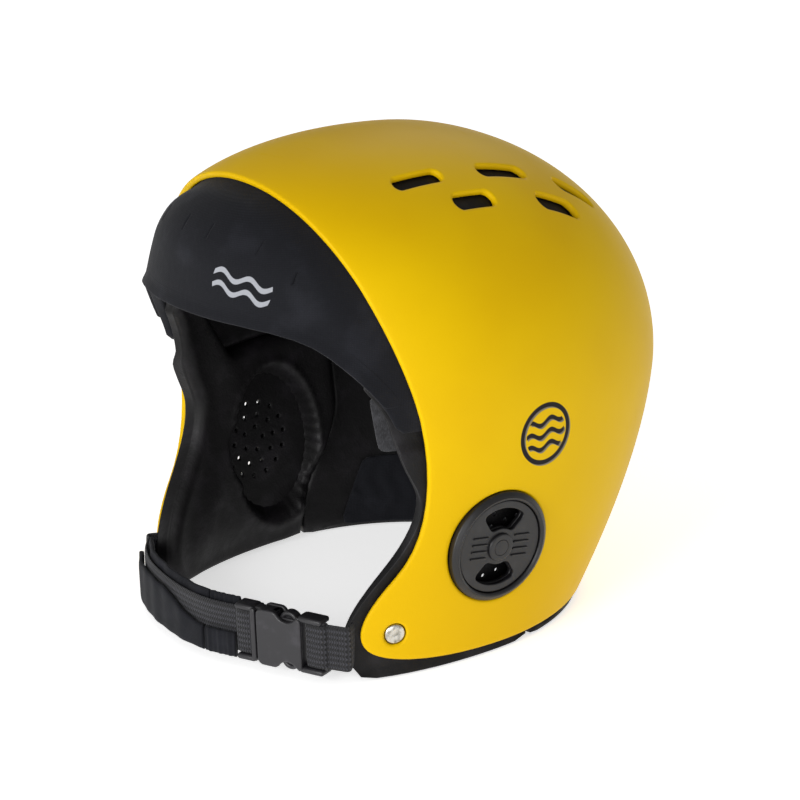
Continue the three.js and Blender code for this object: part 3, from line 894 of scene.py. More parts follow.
# ---------------------------------------------------------------- finishes
class Value:
    """A shader socket that takes part in Python arithmetic."""

    def __init__(self, graph: "Graph", socket: bpy.types.NodeSocket) -> None:
        """Wraps a socket of a graph."""
        self.graph, self.socket = graph, socket

    def maths(self, operation: str, *others: "Value | float",
              first: "Value | float | None" = None) -> "Value":
        """One Math node on this value, or with this value second where first is given.

        Args:
            operation: the node's operation.
            others: the operands after this value.
            first: an operand put before this value.

        Returns:
            The result.
        """
        operands = (self, *others) if first is None else (first, self)
        node = self.graph.node("ShaderNodeMath", {"operation": operation}, dict(enumerate(operands)))
        return Value(self.graph, node.outputs[0])

    def __add__(self, other: "Value | float") -> "Value":
        """Sum."""
        return self.maths("ADD", other)

    __radd__ = __add__

    def __sub__(self, other: "Value | float") -> "Value":
        """Difference."""
        return self.maths("SUBTRACT", other)

    def __rsub__(self, other: float) -> "Value":
        """A number less this value."""
        return self.maths("SUBTRACT", first=other)

    def __mul__(self, other: "Value | float") -> "Value":
        """Product."""
        return self.maths("MULTIPLY", other)

    __rmul__ = __mul__

    def __truediv__(self, other: "Value | float") -> "Value":
        """Quotient."""
        return self.maths("DIVIDE", other)

    def __pow__(self, other: float) -> "Value":
        """Power."""
        return self.maths("POWER", other)

    def __abs__(self) -> "Value":
        """Size without sign."""
        return self.maths("ABSOLUTE")

    def sin(self) -> "Value":
        """Sine."""
        return self.maths("SINE")

    def most(self, other: "Value | float") -> "Value":
        """The greater of two."""
        return self.maths("MAXIMUM", other)

    def ramp(self, low: float, high: float) -> "Value":
        """0 below low, 1 above high and a smooth rise between."""
        node = self.graph.node("ShaderNodeMapRange", {"interpolation_type": "SMOOTHSTEP"},
                               {"Value": self, "From Min": low, "From Max": high})
        return Value(self.graph, node.outputs[0])


Colour = tuple[float, float, float]


def linear(red: int, green: int, blue: int) -> tuple[float, float, float, float]:
    """A colour from 0-255 display values as linear light, opaque.

    Args:
        red: 0 to 255.
        green: 0 to 255.
        blue: 0 to 255.

    Returns:
        Red, green, blue and an alpha of 1.
    """
    parts = [c / 255 for c in (red, green, blue)]
    lit = [c / 12.92 if c <= 0.04045 else ((c + 0.055) / 1.055) ** 2.4 for c in parts]
    return (*lit, 1.0)


class Graph:
    """A material's node tree round one Principled shader."""

    def __init__(self, name: str, constants: dict[str, object]) -> None:
        """Makes the material.

        Args:
            name: the material's name.
            constants: values of shader sockets that are the same all over.
        """
        self.material = bpy.data.materials.new(name)
        self.material.use_nodes = True
        self.tree = self.material.node_tree
        self.shader = next(n for n in self.tree.nodes if n.type == "BSDF_PRINCIPLED")
        for socket, value in constants.items():
            self.shader.inputs[socket].default_value = value

    def node(self, kind: str, settings: dict[str, object],
             inputs: dict[str | int, object]) -> bpy.types.Node:
        """Adds a node.

        Args:
            kind: the node's type.
            settings: its own properties; "stops" gives a ramp's (place, colour) pairs.
            inputs: values or links of its sockets.

        Returns:
            The node.
        """
        made = self.tree.nodes.new(kind)
        for key, value in settings.items():
            if key != "stops":
                setattr(made, key, value)
                continue
            for i, (place, colour) in enumerate(value):
                stop = made.color_ramp.elements[i] if i < 2 else made.color_ramp.elements.new(place)
                stop.position, stop.color = place, colour
        for key, value in inputs.items():
            if isinstance(value, Value):
                self.tree.links.new(value.socket, made.inputs[key])
            else:
                made.inputs[key].default_value = value
        return made

    def feed(self, socket: str, value: Value) -> None:
        """Links a value to the shader."""
        self.tree.links.new(value.socket, self.shader.inputs[socket])

    def place(self) -> Value:
        """Object coordinates, in metres."""
        return Value(self, self.node("ShaderNodeTexCoord", {}, {}).outputs["Object"])

    def uv(self) -> tuple[Value, Value]:
        """The piece's own UV, in metres."""
        node = self.node("ShaderNodeTexCoord", {}, {})
        return self.parts(Value(self, node.outputs["UV"]))[:2]

    def parts(self, vector: Value) -> tuple[Value, Value, Value]:
        """A vector's three numbers."""
        node = self.node("ShaderNodeSeparateXYZ", {}, {0: vector})
        return tuple(Value(self, node.outputs[i]) for i in range(3))

    def along(self, vector: Value, axis: Sequence[float], origin: Sequence[float]) -> Value:
        """Distance in millimetres along an axis from an origin in metres.

        Args:
            vector: a place in metres.
            axis: the direction.
            origin: where the distance is 0.

        Returns:
            The distance.
        """
        node = self.node("ShaderNodeVectorMath", {"operation": "DOT_PRODUCT"}, {0: vector, 1: tuple(axis)})
        start = sum(a * b for a, b in zip(axis, origin))
        return (Value(self, node.outputs["Value"]) - start) / MM

    def noise(self, vector: Value, grain: float, detail: float = 2.0, stretch: Colour = (1, 1, 1)) -> Value:
        """Noise from 0 to 1 whose grain is given in millimetres.

        Args:
            vector: a place in metres.
            grain: the size of the noise.
            detail: how many finer layers it has.
            stretch: scale along each axis.

        Returns:
            The noise.
        """
        scaled = self.node("ShaderNodeMapping", {}, {"Vector": vector, "Scale": stretch})
        node = self.node("ShaderNodeTexNoise", {}, {"Vector": Value(self, scaled.outputs[0]),
                                                     "Scale": 1 / (grain * MM), "Detail": detail})
        return Value(self, node.outputs[0])

    def cells(self, vector: Value, grain: float) -> Value:
        """Distance from 0 to about 1 to the nearest of scattered points, a grain apart."""
        node = self.node("ShaderNodeTexVoronoi", {}, {"Vector": vector, "Scale": 1 / (grain * MM)})
        return Value(self, node.outputs["Distance"])

    def mix(self, share: Value, a: Value | tuple, b: Value | tuple) -> Value:
        """A colour between two others."""
        node = self.node("ShaderNodeMix", {"data_type": "RGBA"}, {0: share, 6: a, 7: b})
        return Value(self, node.outputs[2])

    def bump(self, height: Value, strength: float = 1.0) -> None:
        """Raises the surface by a height in millimetres."""
        node = self.node("ShaderNodeBump", {}, {"Height": height, "Strength": strength, "Distance": MM})
        self.feed("Normal", Value(self, node.outputs[0]))


@dataclass(frozen=True)
class WaveMark:
    """A plain printed device of level waves, with or without a ring round it."""

    centre: Colour
    right: Colour
    up: Colour
    radius: float
    stroke: float
    ring: bool
    waves: int
    pitch: float
    swell: float
    length: float

    def mask(self, graph: Graph, place: Value, shift: float = 0.0) -> Value:
        """1 on the print and 0 off it.

        Args:
            graph: the material's graph.
            place: Object coordinates.
            shift: how far the print is moved down and right, in millimetres.

        Returns:
            The mask.
        """
        origin = [c * MM for c in self.centre]
        u = graph.along(place, self.right, origin) - shift
        v = graph.along(place, self.up, origin) + shift
        reach = (u * u + v * v) ** 0.5
        inside = 1 - reach.ramp(self.radius - 0.2, self.radius)
        mask = None
        for i in range(self.waves):
            level = (i - (self.waves - 1) / 2) * self.pitch
            bend = (u * (2 * math.pi / self.length)).sin() * self.swell + level
            line = 1 - abs(v - bend).ramp(self.stroke / 2 - 0.1, self.stroke / 2 + 0.1)
            mask = line if mask is None else mask.most(line)
        mask = mask * inside
        if self.ring:
            rim = abs(reach - self.radius - self.stroke)
            mask = mask.most(1 - rim.ramp(self.stroke / 2 - 0.1, self.stroke / 2 + 0.1))
        return mask


@dataclass(frozen=True)
class ShellPaint:
    """Satin yellow moulded plastic, with a printed wave roundel on each side."""

    colour: tuple = linear(222, 181, 1)
    deep: tuple = linear(217, 174, 1)
    print_black: tuple = linear(34, 31, 34)
    print_grey: tuple = linear(118, 112, 98)

    def material(self) -> bpy.types.Material:
        """Builds the finish.

        Returns:
            The material.
        """
        graph = Graph("shell_paint", {"Specular IOR Level": 0.08})
        place = graph.place()
        x, y, z = graph.parts(place)
        matrix = FORM.wall_frame(10 + FORM.y_shift, 93, 1)
        mark = WaveMark(centre=tuple(matrix.translation), right=tuple(matrix.col[0].xyz),
                        up=tuple(matrix.col[1].xyz), radius=10.5, stroke=2.0, ring=True, waves=3,
                        pitch=5.4, swell=1.2, length=11)
        folded = graph.node("ShaderNodeCombineXYZ", {}, {0: abs(x), 1: y, 2: z})
        both_sides = Value(graph, folded.outputs[0])
        mottle = graph.noise(place, 60, 2.0).ramp(0.3, 0.7)
        paint = graph.mix(mottle, self.colour, self.deep)
        paint = graph.mix(mark.mask(graph, both_sides, 0.7), paint, self.print_grey)
        ink = mark.mask(graph, both_sides)
        graph.feed("Base Color", graph.mix(ink, paint, self.print_black))
        scuff = graph.noise(place, 9, 5.0, (1, 3, 1)).ramp(0.55, 0.8)
        graph.feed("Roughness", 0.46 + scuff * 0.08 + ink * 0.12)
        peel = graph.noise(place, 1.6, 2.0) * 0.02 + graph.noise(place, 14, 1.0) * 0.05
        graph.bump(peel + ink * 0.03)
        return graph.material


@dataclass(frozen=True)
class Neoprene:
    """Foam rubber under a fine knitted jersey."""

    name: str = "neoprene"
    colour: tuple = linear(14, 15, 20)
    light: tuple = linear(29, 30, 37)
    mark: WaveMark | None = None
    print_grey: tuple = linear(150, 152, 158)

    def material(self) -> bpy.types.Material:
        """Builds the finish.

        Returns:
            The material.
        """
        graph = Graph(self.name, {"Sheen Weight": 0.04, "Sheen Roughness": 0.5, "Specular IOR Level": 0.2})
        place = graph.place()
        x, y, z = graph.parts(place)
        thread = 2 * math.pi / (0.9 * MM)
        courses = ((x + y) * thread).sin() * 0.5 + 0.5
        wales = (z * thread * 1.3).sin() * 0.5 + 0.5
        knit = courses * wales
        pile = graph.noise(place, 0.5, 3.0)
        worn = graph.noise(place, 16, 4.0).ramp(0.45, 0.75)
        cloth = graph.mix((knit * 0.35 + pile * 0.4 + worn * 0.25).ramp(0.2, 0.9), self.colour, self.light)
        if self.mark:
            ink = self.mark.mask(graph, place)
            cloth = graph.mix(ink, cloth, self.print_grey)
        graph.feed("Base Color", cloth)
        graph.feed("Roughness", 0.86 - worn * 0.08)
        graph.bump(knit * 0.05 + pile * 0.05 + graph.noise(place, 7, 2.0) * 0.25)
        return graph.material


@dataclass(frozen=True)
class Foam:
    """Moulded closed-cell foam with a skin."""

    colour: tuple = linear(10, 9, 10)
    light: tuple = linear(28, 26, 29)

    def material(self) -> bpy.types.Material:
        """Builds the finish.

        Returns:
            The material.
        """
        graph = Graph("foam", {"Specular IOR Level": 0.22})
        place = graph.place()
        pores = graph.cells(place, 0.9)
        rub = graph.noise(place, 11, 5.0).ramp(0.4, 0.75)
        fine = graph.noise(place, 0.7, 3.0)
        tone = (rub * 0.5 + fine * 0.4).ramp(0.15, 0.85)
        graph.feed("Base Color", graph.mix(tone, self.colour, self.light))
        graph.feed("Roughness", 0.5 - rub * 0.1 + fine * 0.1)
        graph.bump(pores * 0.05 + fine * 0.05 + graph.noise(place, 9, 2.0) * 0.35)
        return graph.material


@dataclass(frozen=True)
class Felt:
    """The grey loop pile that pads fasten to."""

    colour: tuple = linear(28, 28, 31)
    light: tuple = linear(78, 78, 82)

    def material(self) -> bpy.types.Material:
        """Builds the finish.

        Returns:
            The material.
        """
        graph = Graph("loop_felt", {"Sheen Weight": 0.3, "Sheen Roughness": 0.6})
        place = graph.place()
        fibre = graph.noise(place, 0.5, 5.0, (1, 1, 0.35))
        tufts = graph.noise(place, 3.5, 4.0)
        tone = (fibre * 0.6 + tufts * 0.5).ramp(0.3, 0.8)
        graph.feed("Base Color", graph.mix(tone, self.colour, self.light))
        graph.feed("Roughness", 0.9 + tufts * 0.08)
        graph.bump(fibre * 0.35 + tufts * 0.3)
        return graph.material


@dataclass(frozen=True)
class Moulding:
    """Black moulded plastic with a fine spark grain."""

    name: str
    colour: tuple
    light: tuple
    roughness: float
    grain: float = 0.35

    def material(self) -> bpy.types.Material:
        """Builds the finish.

        Returns:
            The material.
        """
        graph = Graph(self.name, {"Specular IOR Level": 0.5})
        place = graph.place()
        spark = graph.noise(place, self.grain, 3.0)
        wear = graph.noise(place, 6, 5.0).ramp(0.5, 0.78)
        tone = (wear * 0.5 + spark * 0.4).ramp(0.15, 0.9)
        graph.feed("Base Color", graph.mix(tone, self.colour, self.light))
        graph.feed("Roughness", self.roughness + spark * 0.1 - wear * 0.06)
        graph.bump(spark * 0.025 + graph.noise(place, 5, 1.0) * 0.03)
        return graph.material


@dataclass(frozen=True)
class Webbing:
    """Woven strap: floats of thread in rows that step across it."""

    name: str = "webbing"
    colour: tuple = linear(9, 9, 11)
    light: tuple = linear(58, 58, 64)
    thread: float = 1.15

    def material(self) -> bpy.types.Material:
        """Builds the finish.

        Returns:
            The material.
        """
        graph = Graph(self.name, {"Sheen Weight": 0.1, "Specular IOR Level": 0.35})
        along, across = graph.uv()
        turn = 2 * math.pi / (self.thread * MM)
        step = along * turn
        row = across * turn
        ribs = (row * 0.5).sin() * 0.5 + 0.5
        weft = (step + ((row * 0.5).sin() * 1.6)).sin() * 0.5 + 0.5
        weave = ribs * 0.45 + weft * 0.55
        edge = abs(across / MM).ramp(8.2, 9.4)
        place = graph.place()
        fuzz = graph.noise(place, 0.35, 4.0)
        tone = (weave * 0.7 + fuzz * 0.3 - edge * 0.2).ramp(0.3, 0.95)
        graph.feed("Base Color", graph.mix(tone, self.colour, self.light))
        graph.feed("Roughness", 0.62 + fuzz * 0.2)
        graph.bump(weave * 0.35 + fuzz * 0.08)
        return graph.material


@dataclass(frozen=True)
class TurnedSteel:
    """Bright nickel-plated steel with fine turning marks about the rivets' axes."""

    colour: tuple = linear(205, 203, 196)
    dull: tuple = linear(140, 138, 130)

    def material(self) -> bpy.types.Material:
        """Builds the finish.

        Returns:
            The material.
        """
        graph = Graph("nickel_steel", {"Metallic": 1.0})
        place = graph.place()
        _, y, z = graph.parts(place)
        off_y, off_z = y / MM - RIVET[0], z / MM - RIVET[1]
        reach = (off_y * off_y + off_z * off_z) ** 0.5
        rings = (reach * 38).sin() * 0.5 + 0.5
        stain = graph.noise(place, 2.2, 4.0).ramp(0.42, 0.72)
        graph.feed("Base Color", graph.mix(stain, self.colour, self.dull))
        graph.feed("Roughness", 0.2 + stain * 0.18 + rings * 0.05)
        graph.bump(rings * 0.01 + stain * 0.02)
        return graph.material


# ---------------------------------------------------------------- the helmet's parts
@dataclass
class Shell:
    """The moulded outer shell with its vent slots, ear holes and rivet recesses."""

    wall: float = 3.0
    cells: int = 84
    edge: EdgeShape = field(default_factory=lambda: EdgeShape(1.4, 1.0, steps=5))
    slot_width: float = 5.5
    slots: tuple = ((42.5, -24, 0), (42.5, 20, 44), (42.5, 61, 80), (55.5, -3, 17), (55.5, 41, 61))
    slot_floor: float = 130.0
    ear_hole: float = 24.35
    rivet_hole: float = 4.75

    def slot_line(self, points: Array) -> Array:
        """Distance outside the vent slots, seen from above.

        Args:
            points: (n, 3) places in the helmet's frame.

        Returns:
            (n,) distances.
        """
        radius = self.slot_width / 2
        plan = np.stack([np.abs(points[:, 0]), points[:, 1]], axis=1)
        best = np.full(len(points), FAR)
        for x, front, back in self.slots:
            start = np.array([x, front + radius + FORM.y_shift])
            end = np.array([x, back - radius + FORM.y_shift])
            best = np.minimum(best, capsule_distance(plan, start, end) - radius)
        return np.where(points[:, 2] > self.slot_floor, best, FAR) - self.edge.reach

    def hole_line(self, points: Array) -> Array:
        """Distance outside the ear and rivet holes.

        Args:
            points: (n, 3) places in the helmet's frame.

        Returns:
            (n,) distances.
        """
        ear = from_axis(points, EAR) - self.ear_hole
        rivet = from_axis(points, RIVET) - self.rivet_hole
        return np.minimum(ear, rivet) - self.edge.reach

    def build(self, paint: bpy.types.Material) -> bpy.types.Object:
        """Builds and dresses the shell.

        Args:
            paint: its finish.

        Returns:
            The shell.
        """
        sheet = TrimmedSheet.over_form(self.cells, 0.0)
        sheet.trim(lambda p: behind_shell_edge(p) - self.edge.reach)
        sheet.refine(self.slot_line, 3.0).refine(self.slot_line, 1.2)
        sheet.refine(lambda p: from_axis(p, RIVET) - self.rivet_hole, 4.0)
        sheet.trim(self.slot_line).trim(self.hole_line)
        bm = sheet.thicken(0.0, self.wall, self.edge)
        return Fitting("shell_moulding", Body.HELMET, Slot.SHELL, ("shell",)).place(bm, paint)


@dataclass
class BrowBand:
    """The neoprene band across the brow, with its slits and its turned hem."""

    inset: float = UNDER_SHELL
    wall: float = 3.0
    tuck: float = 13.5
    end_level: float = 106.0
    cells: int = 60
    slits: tuple = ((8.0, 183.0), (31.5, 180.0), (46.4, 169.5))
    slit_length: float = 4.5
    slit_width: float = 1.5
    hem_wall: float = 1.3
    hem_width: float = 6.5

    def slit_line(self, points: Array) -> Array:
        """Distance outside the slits, seen from the front.

        Args:
            points: (n, 3) places in the helmet's frame.

        Returns:
            (n,) distances.
        """
        view = np.stack([np.abs(points[:, 0]), points[:, 2]], axis=1)
        best = np.full(len(points), FAR)
        for x, level in self.slits:
            low, high = (np.array([x, level + sign * self.slit_length / 2]) for sign in (-1, 1))
            best = np.minimum(best, capsule_distance(view, low, high) - self.slit_width / 2)
        return np.where(points[:, 1] < 0, best, FAR)

    def band_line(self, points: Array) -> Array:
        """Distance inside the band's own outline.

        Args:
            points: (n, 3) places in the helmet's frame.

        Returns:
            (n,) distances.
        """
        ahead = self.tuck - behind_shell_edge(points)
        above = points[:, 2] - self.end_level
        return blend_least(blend_least(behind_opening(points), ahead, 3.0), above, 3.0)

    def build(self, cloth: bpy.types.Material) -> list[bpy.types.Object]:
        """Builds and dresses the band and its hem.

        Args:
            cloth: their finish.

        Returns:
            The band and the hem.
        """
        edge = EdgeShape(1.3, 1.3)
        sheet = TrimmedSheet.over_form(self.cells, self.inset)
        sheet.trim(lambda p: self.band_line(p) - edge.reach)
        sheet.refine(self.slit_line, 4.0).refine(self.slit_line, 2.0).refine(self.slit_line, 1.0)
        sheet.trim(lambda p: self.slit_line(p) - 0.1)
        bm = sheet.thicken(lambda p: self.inset - band_swell(p), self.inset + self.wall, edge)
        band = Fitting("brow_band", Body.HELMET, Slot.NEOPRENE, ("front_band",)).place(bm, cloth)
        hem_edge = EdgeShape(0.7, 0.7)
        hem_inset = self.inset - GAP - self.hem_wall + 0.6
        hem_sheet = TrimmedSheet.over_form(self.cells + 24, hem_inset)

        def hem_line(points: Array) -> Array:
            """Distance inside the hem's outline."""
            inside = behind_opening(points)
            strip = np.minimum(inside, self.hem_width - inside)
            above = points[:, 2] - 118.0
            return np.minimum(np.minimum(strip, -1.0 - behind_shell_edge(points)), above) - hem_edge.reach

        hem_sheet.trim(hem_line)

        def rolled(points: Array) -> Array:
            """Inset of the hem's outer face, which rolls in from its lower edge."""
            fall = smooth_step(0.5, self.hem_width - 1.5, behind_opening(points))
            return hem_inset + 0.95 * fall - band_swell(points)

        bm = hem_sheet.thicken(rolled, lambda p: hem_inset + self.hem_wall - band_swell(p), hem_edge)
        hem = Fitting("brow_hem", Body.HELMET, Slot.NEOPRENE, ("band_hem",)).place(bm, cloth)
        return [band, hem]


@dataclass
class Liner:
    """The foam liner in four pads, with the ear recesses, the nape band and the felt patch."""

    inset: float = UNDER_SHELL
    crown_wall: float = 11.0
    rear_wall: float = 9.0
    side_wall: float = 14.0
    recess_centre: Pair = (-7.0, 47.5)
    recess_half: Pair = (26.5, 36.5)
    recess_floor: float = 7.7
    cells: int = 64
    puckers: int = 40
    lead: float = 1.8
    lip_wall: float = 10.5
    band_room: float = 3.4
    pocket_depth: float = 4.6
    vent_hole: float = 24.0
    cloth_wall: float = 1.5
    cloth_hole: float = 1.35
    cloth_rings: tuple = ((5.5, 5), (11, 10), (16.5, 15))
    nape_levels: Pair = (3.0, 31.0)
    patch_levels: Pair = (32.0, 58.0)
    patch_back: float = 44.0
    edge: EdgeShape = field(default_factory=lambda: EdgeShape(0.8, 4.0, ridge=0.4, steps=5))

    def recess(self, points: Array) -> tuple[Array, Array]:
        """How far inside the ear recess's oval places are, and their angle about it.

        Args:
            points: (n, 3) places in the helmet's frame.

        Returns:
            (n,) distances and (n,) angles.
        """
        y = points[:, 1] - self.recess_centre[0] - FORM.y_shift
        z = points[:, 2] - self.recess_centre[1]
        half_y, half_z = self.recess_half
        reach = np.hypot(y / half_y, z / half_z)
        return (1 - reach) * (half_y + half_z) / 2, np.arctan2(z / half_z, y / half_y)

    def side_depth(self, points: Array) -> Array:
        """Inset of a side pad's inner face, with the puckered wall of the ear recess.

        Args:
            points: (n, 3) places in the helmet's frame.

        Returns:
            (n,) insets.
        """
        inside, angle = self.recess(points)
        fall = smooth_step(0.0, 7.5, inside)
        lip = smooth_step(2.0, 20.0, behind_opening(points))
        full = self.inset + self.lip_wall + (self.side_wall - self.lip_wall) * lip
        full = full + 0.8 * np.exp(-(((inside + 1.2) / 1.3) ** 2))
        crease = np.sin(self.puckers * angle + 1.7 * np.sin(3 * angle))
        ridge = 0.55 * crease * np.exp(-(((inside - 4.0) / 4.5) ** 2))
        return full - (full - self.recess_floor) * fall + ridge

    def side_line(self, side: int) -> Field:
        """A field of the distance inside a side pad's outline.

        Args:
            side: 1 for the wearer's left, -1 for the right.

        Returns:
            The field.
        """

        def line(points: Array) -> Array:
            """Distance inside the pad."""
            level, back = splits(points)
            near = blend_least(behind_opening(points + (0, self.lead, 0)), back - points[:, 1], 1.5)
            near = blend_least(near, level - GAP - points[:, 2], 2.0)
            return np.minimum(near, side * points[:, 0])

        return line

    def rivet_pocket(self, points: Array) -> Array:
        """How much of the full pocket depth a place is sunk by for the rivet's tail."""
        return 1 - smooth_step(6.0, 9.0, from_axis(points, RIVET))

    def side_outer(self, points: Array) -> Array:
        """Inset of a side pad's outer face, with room for the rivet's tail and the brow band."""
        sunk = self.inset + self.pocket_depth * self.rivet_pocket(points)
        return sunk + self.band_room * under_band(points)

    def build_sides(self, foam: bpy.types.Material) -> list[bpy.types.Object]:
        """The two side pads.

        Args:
            foam: their finish.

        Returns:
            The left pad and the right one.
        """
        made = []
        for word, side in (("left", 1), ("right", -1)):
            sheet = TrimmedSheet.over_form(self.cells, self.inset)
            line = self.side_line(side)
            sheet.trim(lambda p: line(p) - self.edge.reach)
            sheet.refine(lambda p: self.recess(p)[0] - 3.0, 9.0)
            sheet.trim(lambda p: from_axis(p, EAR) - self.vent_hole)
            bm = sheet.thicken(self.side_outer, self.side_depth, self.edge)
            fitting = Fitting(f"side_pad_{word}", Body.HELMET, Slot.FOAM, (f"side_liner_{word}",))
            made.append(fitting.place(flared_rim(bm), foam))
        return made

    def build_crown(self, foam: bpy.types.Material) -> bpy.types.Object:
        """The crown pad, stepped inwards under the brow band.

        Args:
            foam: its finish.

        Returns:
            The pad.
        """
        sheet = TrimmedSheet.over_form(self.cells, self.inset)

        def line(points: Array) -> Array:
            """Distance inside the crown pad."""
            above = points[:, 2] - splits(points)[0]
            return blend_least(behind_opening(points) - 2.0, above, 2.0) - 4.0

        def outer(points: Array) -> Array:
            """Inset of the pad's outer face."""
            return self.inset + self.band_room * under_band(points)

        sheet.trim(line)
        bm = sheet.thicken(outer, self.inset + self.crown_wall, EdgeShape(1.2, 4.0, steps=5))
        return Fitting("crown_pad", Body.HELMET, Slot.FOAM, ("crown_liner",)).place(bm, foam)

    def build_rear(self, foam: bpy.types.Material) -> bpy.types.Object:
        """The rear pad over the nape.

        Args:
            foam: its finish.

        Returns:
            The pad.
        """
        sheet = TrimmedSheet.over_form(self.cells, self.inset)

        def line(points: Array) -> Array:
            """Distance inside the rear pad."""
            level, back = splits(points)
            near = blend_least(points[:, 1] - back - GAP, points[:, 2], 1.5)
            return blend_least(near, level - GAP - points[:, 2], 2.0) - 2.0

        sheet.trim(line)
        bm = sheet.thicken(self.inset, self.inset + self.rear_wall, EdgeShape(0.8, 2.0, steps=4))
        return Fitting("rear_pad", Body.HELMET, Slot.FOAM, ("rear_liner",)).place(flared_rim(bm), foam)

    def build_ear_cloths(self, foam: bpy.types.Material) -> list[bpy.types.Object]:
        """The perforated discs that cover the ear recesses' floors.

        Args:
            foam: their finish.

        Returns:
            The left disc and the right one.
        """
        made = []
        holes = [(ring, i * 2 * math.pi / count) for ring, count in self.cloth_rings for i in range(count)]
        axis = FORM.wall_frame(*EAR, 1)
        origin, up = np.array(axis.translation), np.array(axis.col[1].xyz)
        right = np.array(axis.col[0].xyz)

        def hole_line(points: Array) -> Array:
            """Distance outside the holes of a perforated disc."""
            reach = points - origin
            reach[:, 0] = np.abs(points[:, 0]) - origin[0]
            view = np.stack([reach @ right, reach @ up], axis=1)
            best = np.full(len(points), FAR)
            for ring, angle in holes:
                spot = np.array([ring * math.cos(angle), ring * math.sin(angle)])
                best = np.minimum(best, np.linalg.norm(view - spot, axis=1))
            return best - self.cloth_hole

        for word, side in (("left", 1), ("right", -1)):
            level = self.recess_floor + GAP
            sheet = TrimmedSheet.over_form(self.cells + 20, level)
            sheet.trim(lambda p: np.minimum(self.recess(p)[0] - 4.5, side * p[:, 0]))
            sheet.refine(hole_line, 2.5).refine(hole_line, 0.9)
            sheet.trim(hole_line)
            bm = sheet.thicken(level, level + self.cloth_wall, EdgeShape(0.35, 0.5, steps=2))
            fitting = Fitting(f"ear_cloth_{word}", Body.HELMET, Slot.FOAM, (f"ear_mesh_{word}",))
            made.append(fitting.place(bm, foam))
        return made

    def build_nape(self, cloth: bpy.types.Material, felt: bpy.types.Material) -> list[bpy.types.Object]:
        """The crinkled nape band and the felt patch above it.

        Args:
            cloth: the band's finish.
            felt: the patch's finish.

        Returns:
            The band and the patch.
        """
        inner = self.inset + self.rear_wall + GAP
        sheet = TrimmedSheet.over_form(self.cells + 20, inner)

        def band_line(points: Array) -> Array:
            """Distance inside the nape band's outline."""
            start = 20 + 0.55 * points[:, 2] + FORM.y_shift
            foot, top = self.nape_levels
            high = np.minimum(points[:, 2] - foot, top - points[:, 2])
            return blend_least(points[:, 1] - start, high, 3.0) - 1.0

        def crinkled(points: Array) -> Array:
            """Inset of the nape band's gathered inner face."""
            angle = np.arctan2(points[:, 0], points[:, 1] + 20) * 60
            level = points[:, 2]
            fold = np.sin(angle + 1.5 * np.sin(level * 0.35)) + 0.6 * np.sin(angle * 2.3 + level * 0.5)
            return inner + 1.7 + 0.45 * fold

        sheet.trim(band_line)
        bm = sheet.thicken(inner, crinkled, EdgeShape(0.6, 1.0, steps=3))
        nape = Fitting("nape_band_cloth", Body.HELMET, Slot.NEOPRENE, ("nape_band",)).place(bm, cloth)
        sheet = TrimmedSheet.over_form(self.cells, inner)

        def patch_line(points: Array) -> Array:
            """Distance inside the felt patch's outline."""
            foot, top = self.patch_levels
            high = np.minimum(points[:, 2] - foot, top - points[:, 2])
            return blend_least(points[:, 1] - self.patch_back - FORM.y_shift, high, 3.0) - 0.5

        sheet.trim(patch_line)
        bm = sheet.thicken(inner, inner + 1.2, EdgeShape(0.3, 0.5, steps=2))
        patch = Fitting("felt_patch", Body.HELMET, Slot.FELT, ("loop_patch",)).place(bm, felt)
        return [nape, patch]


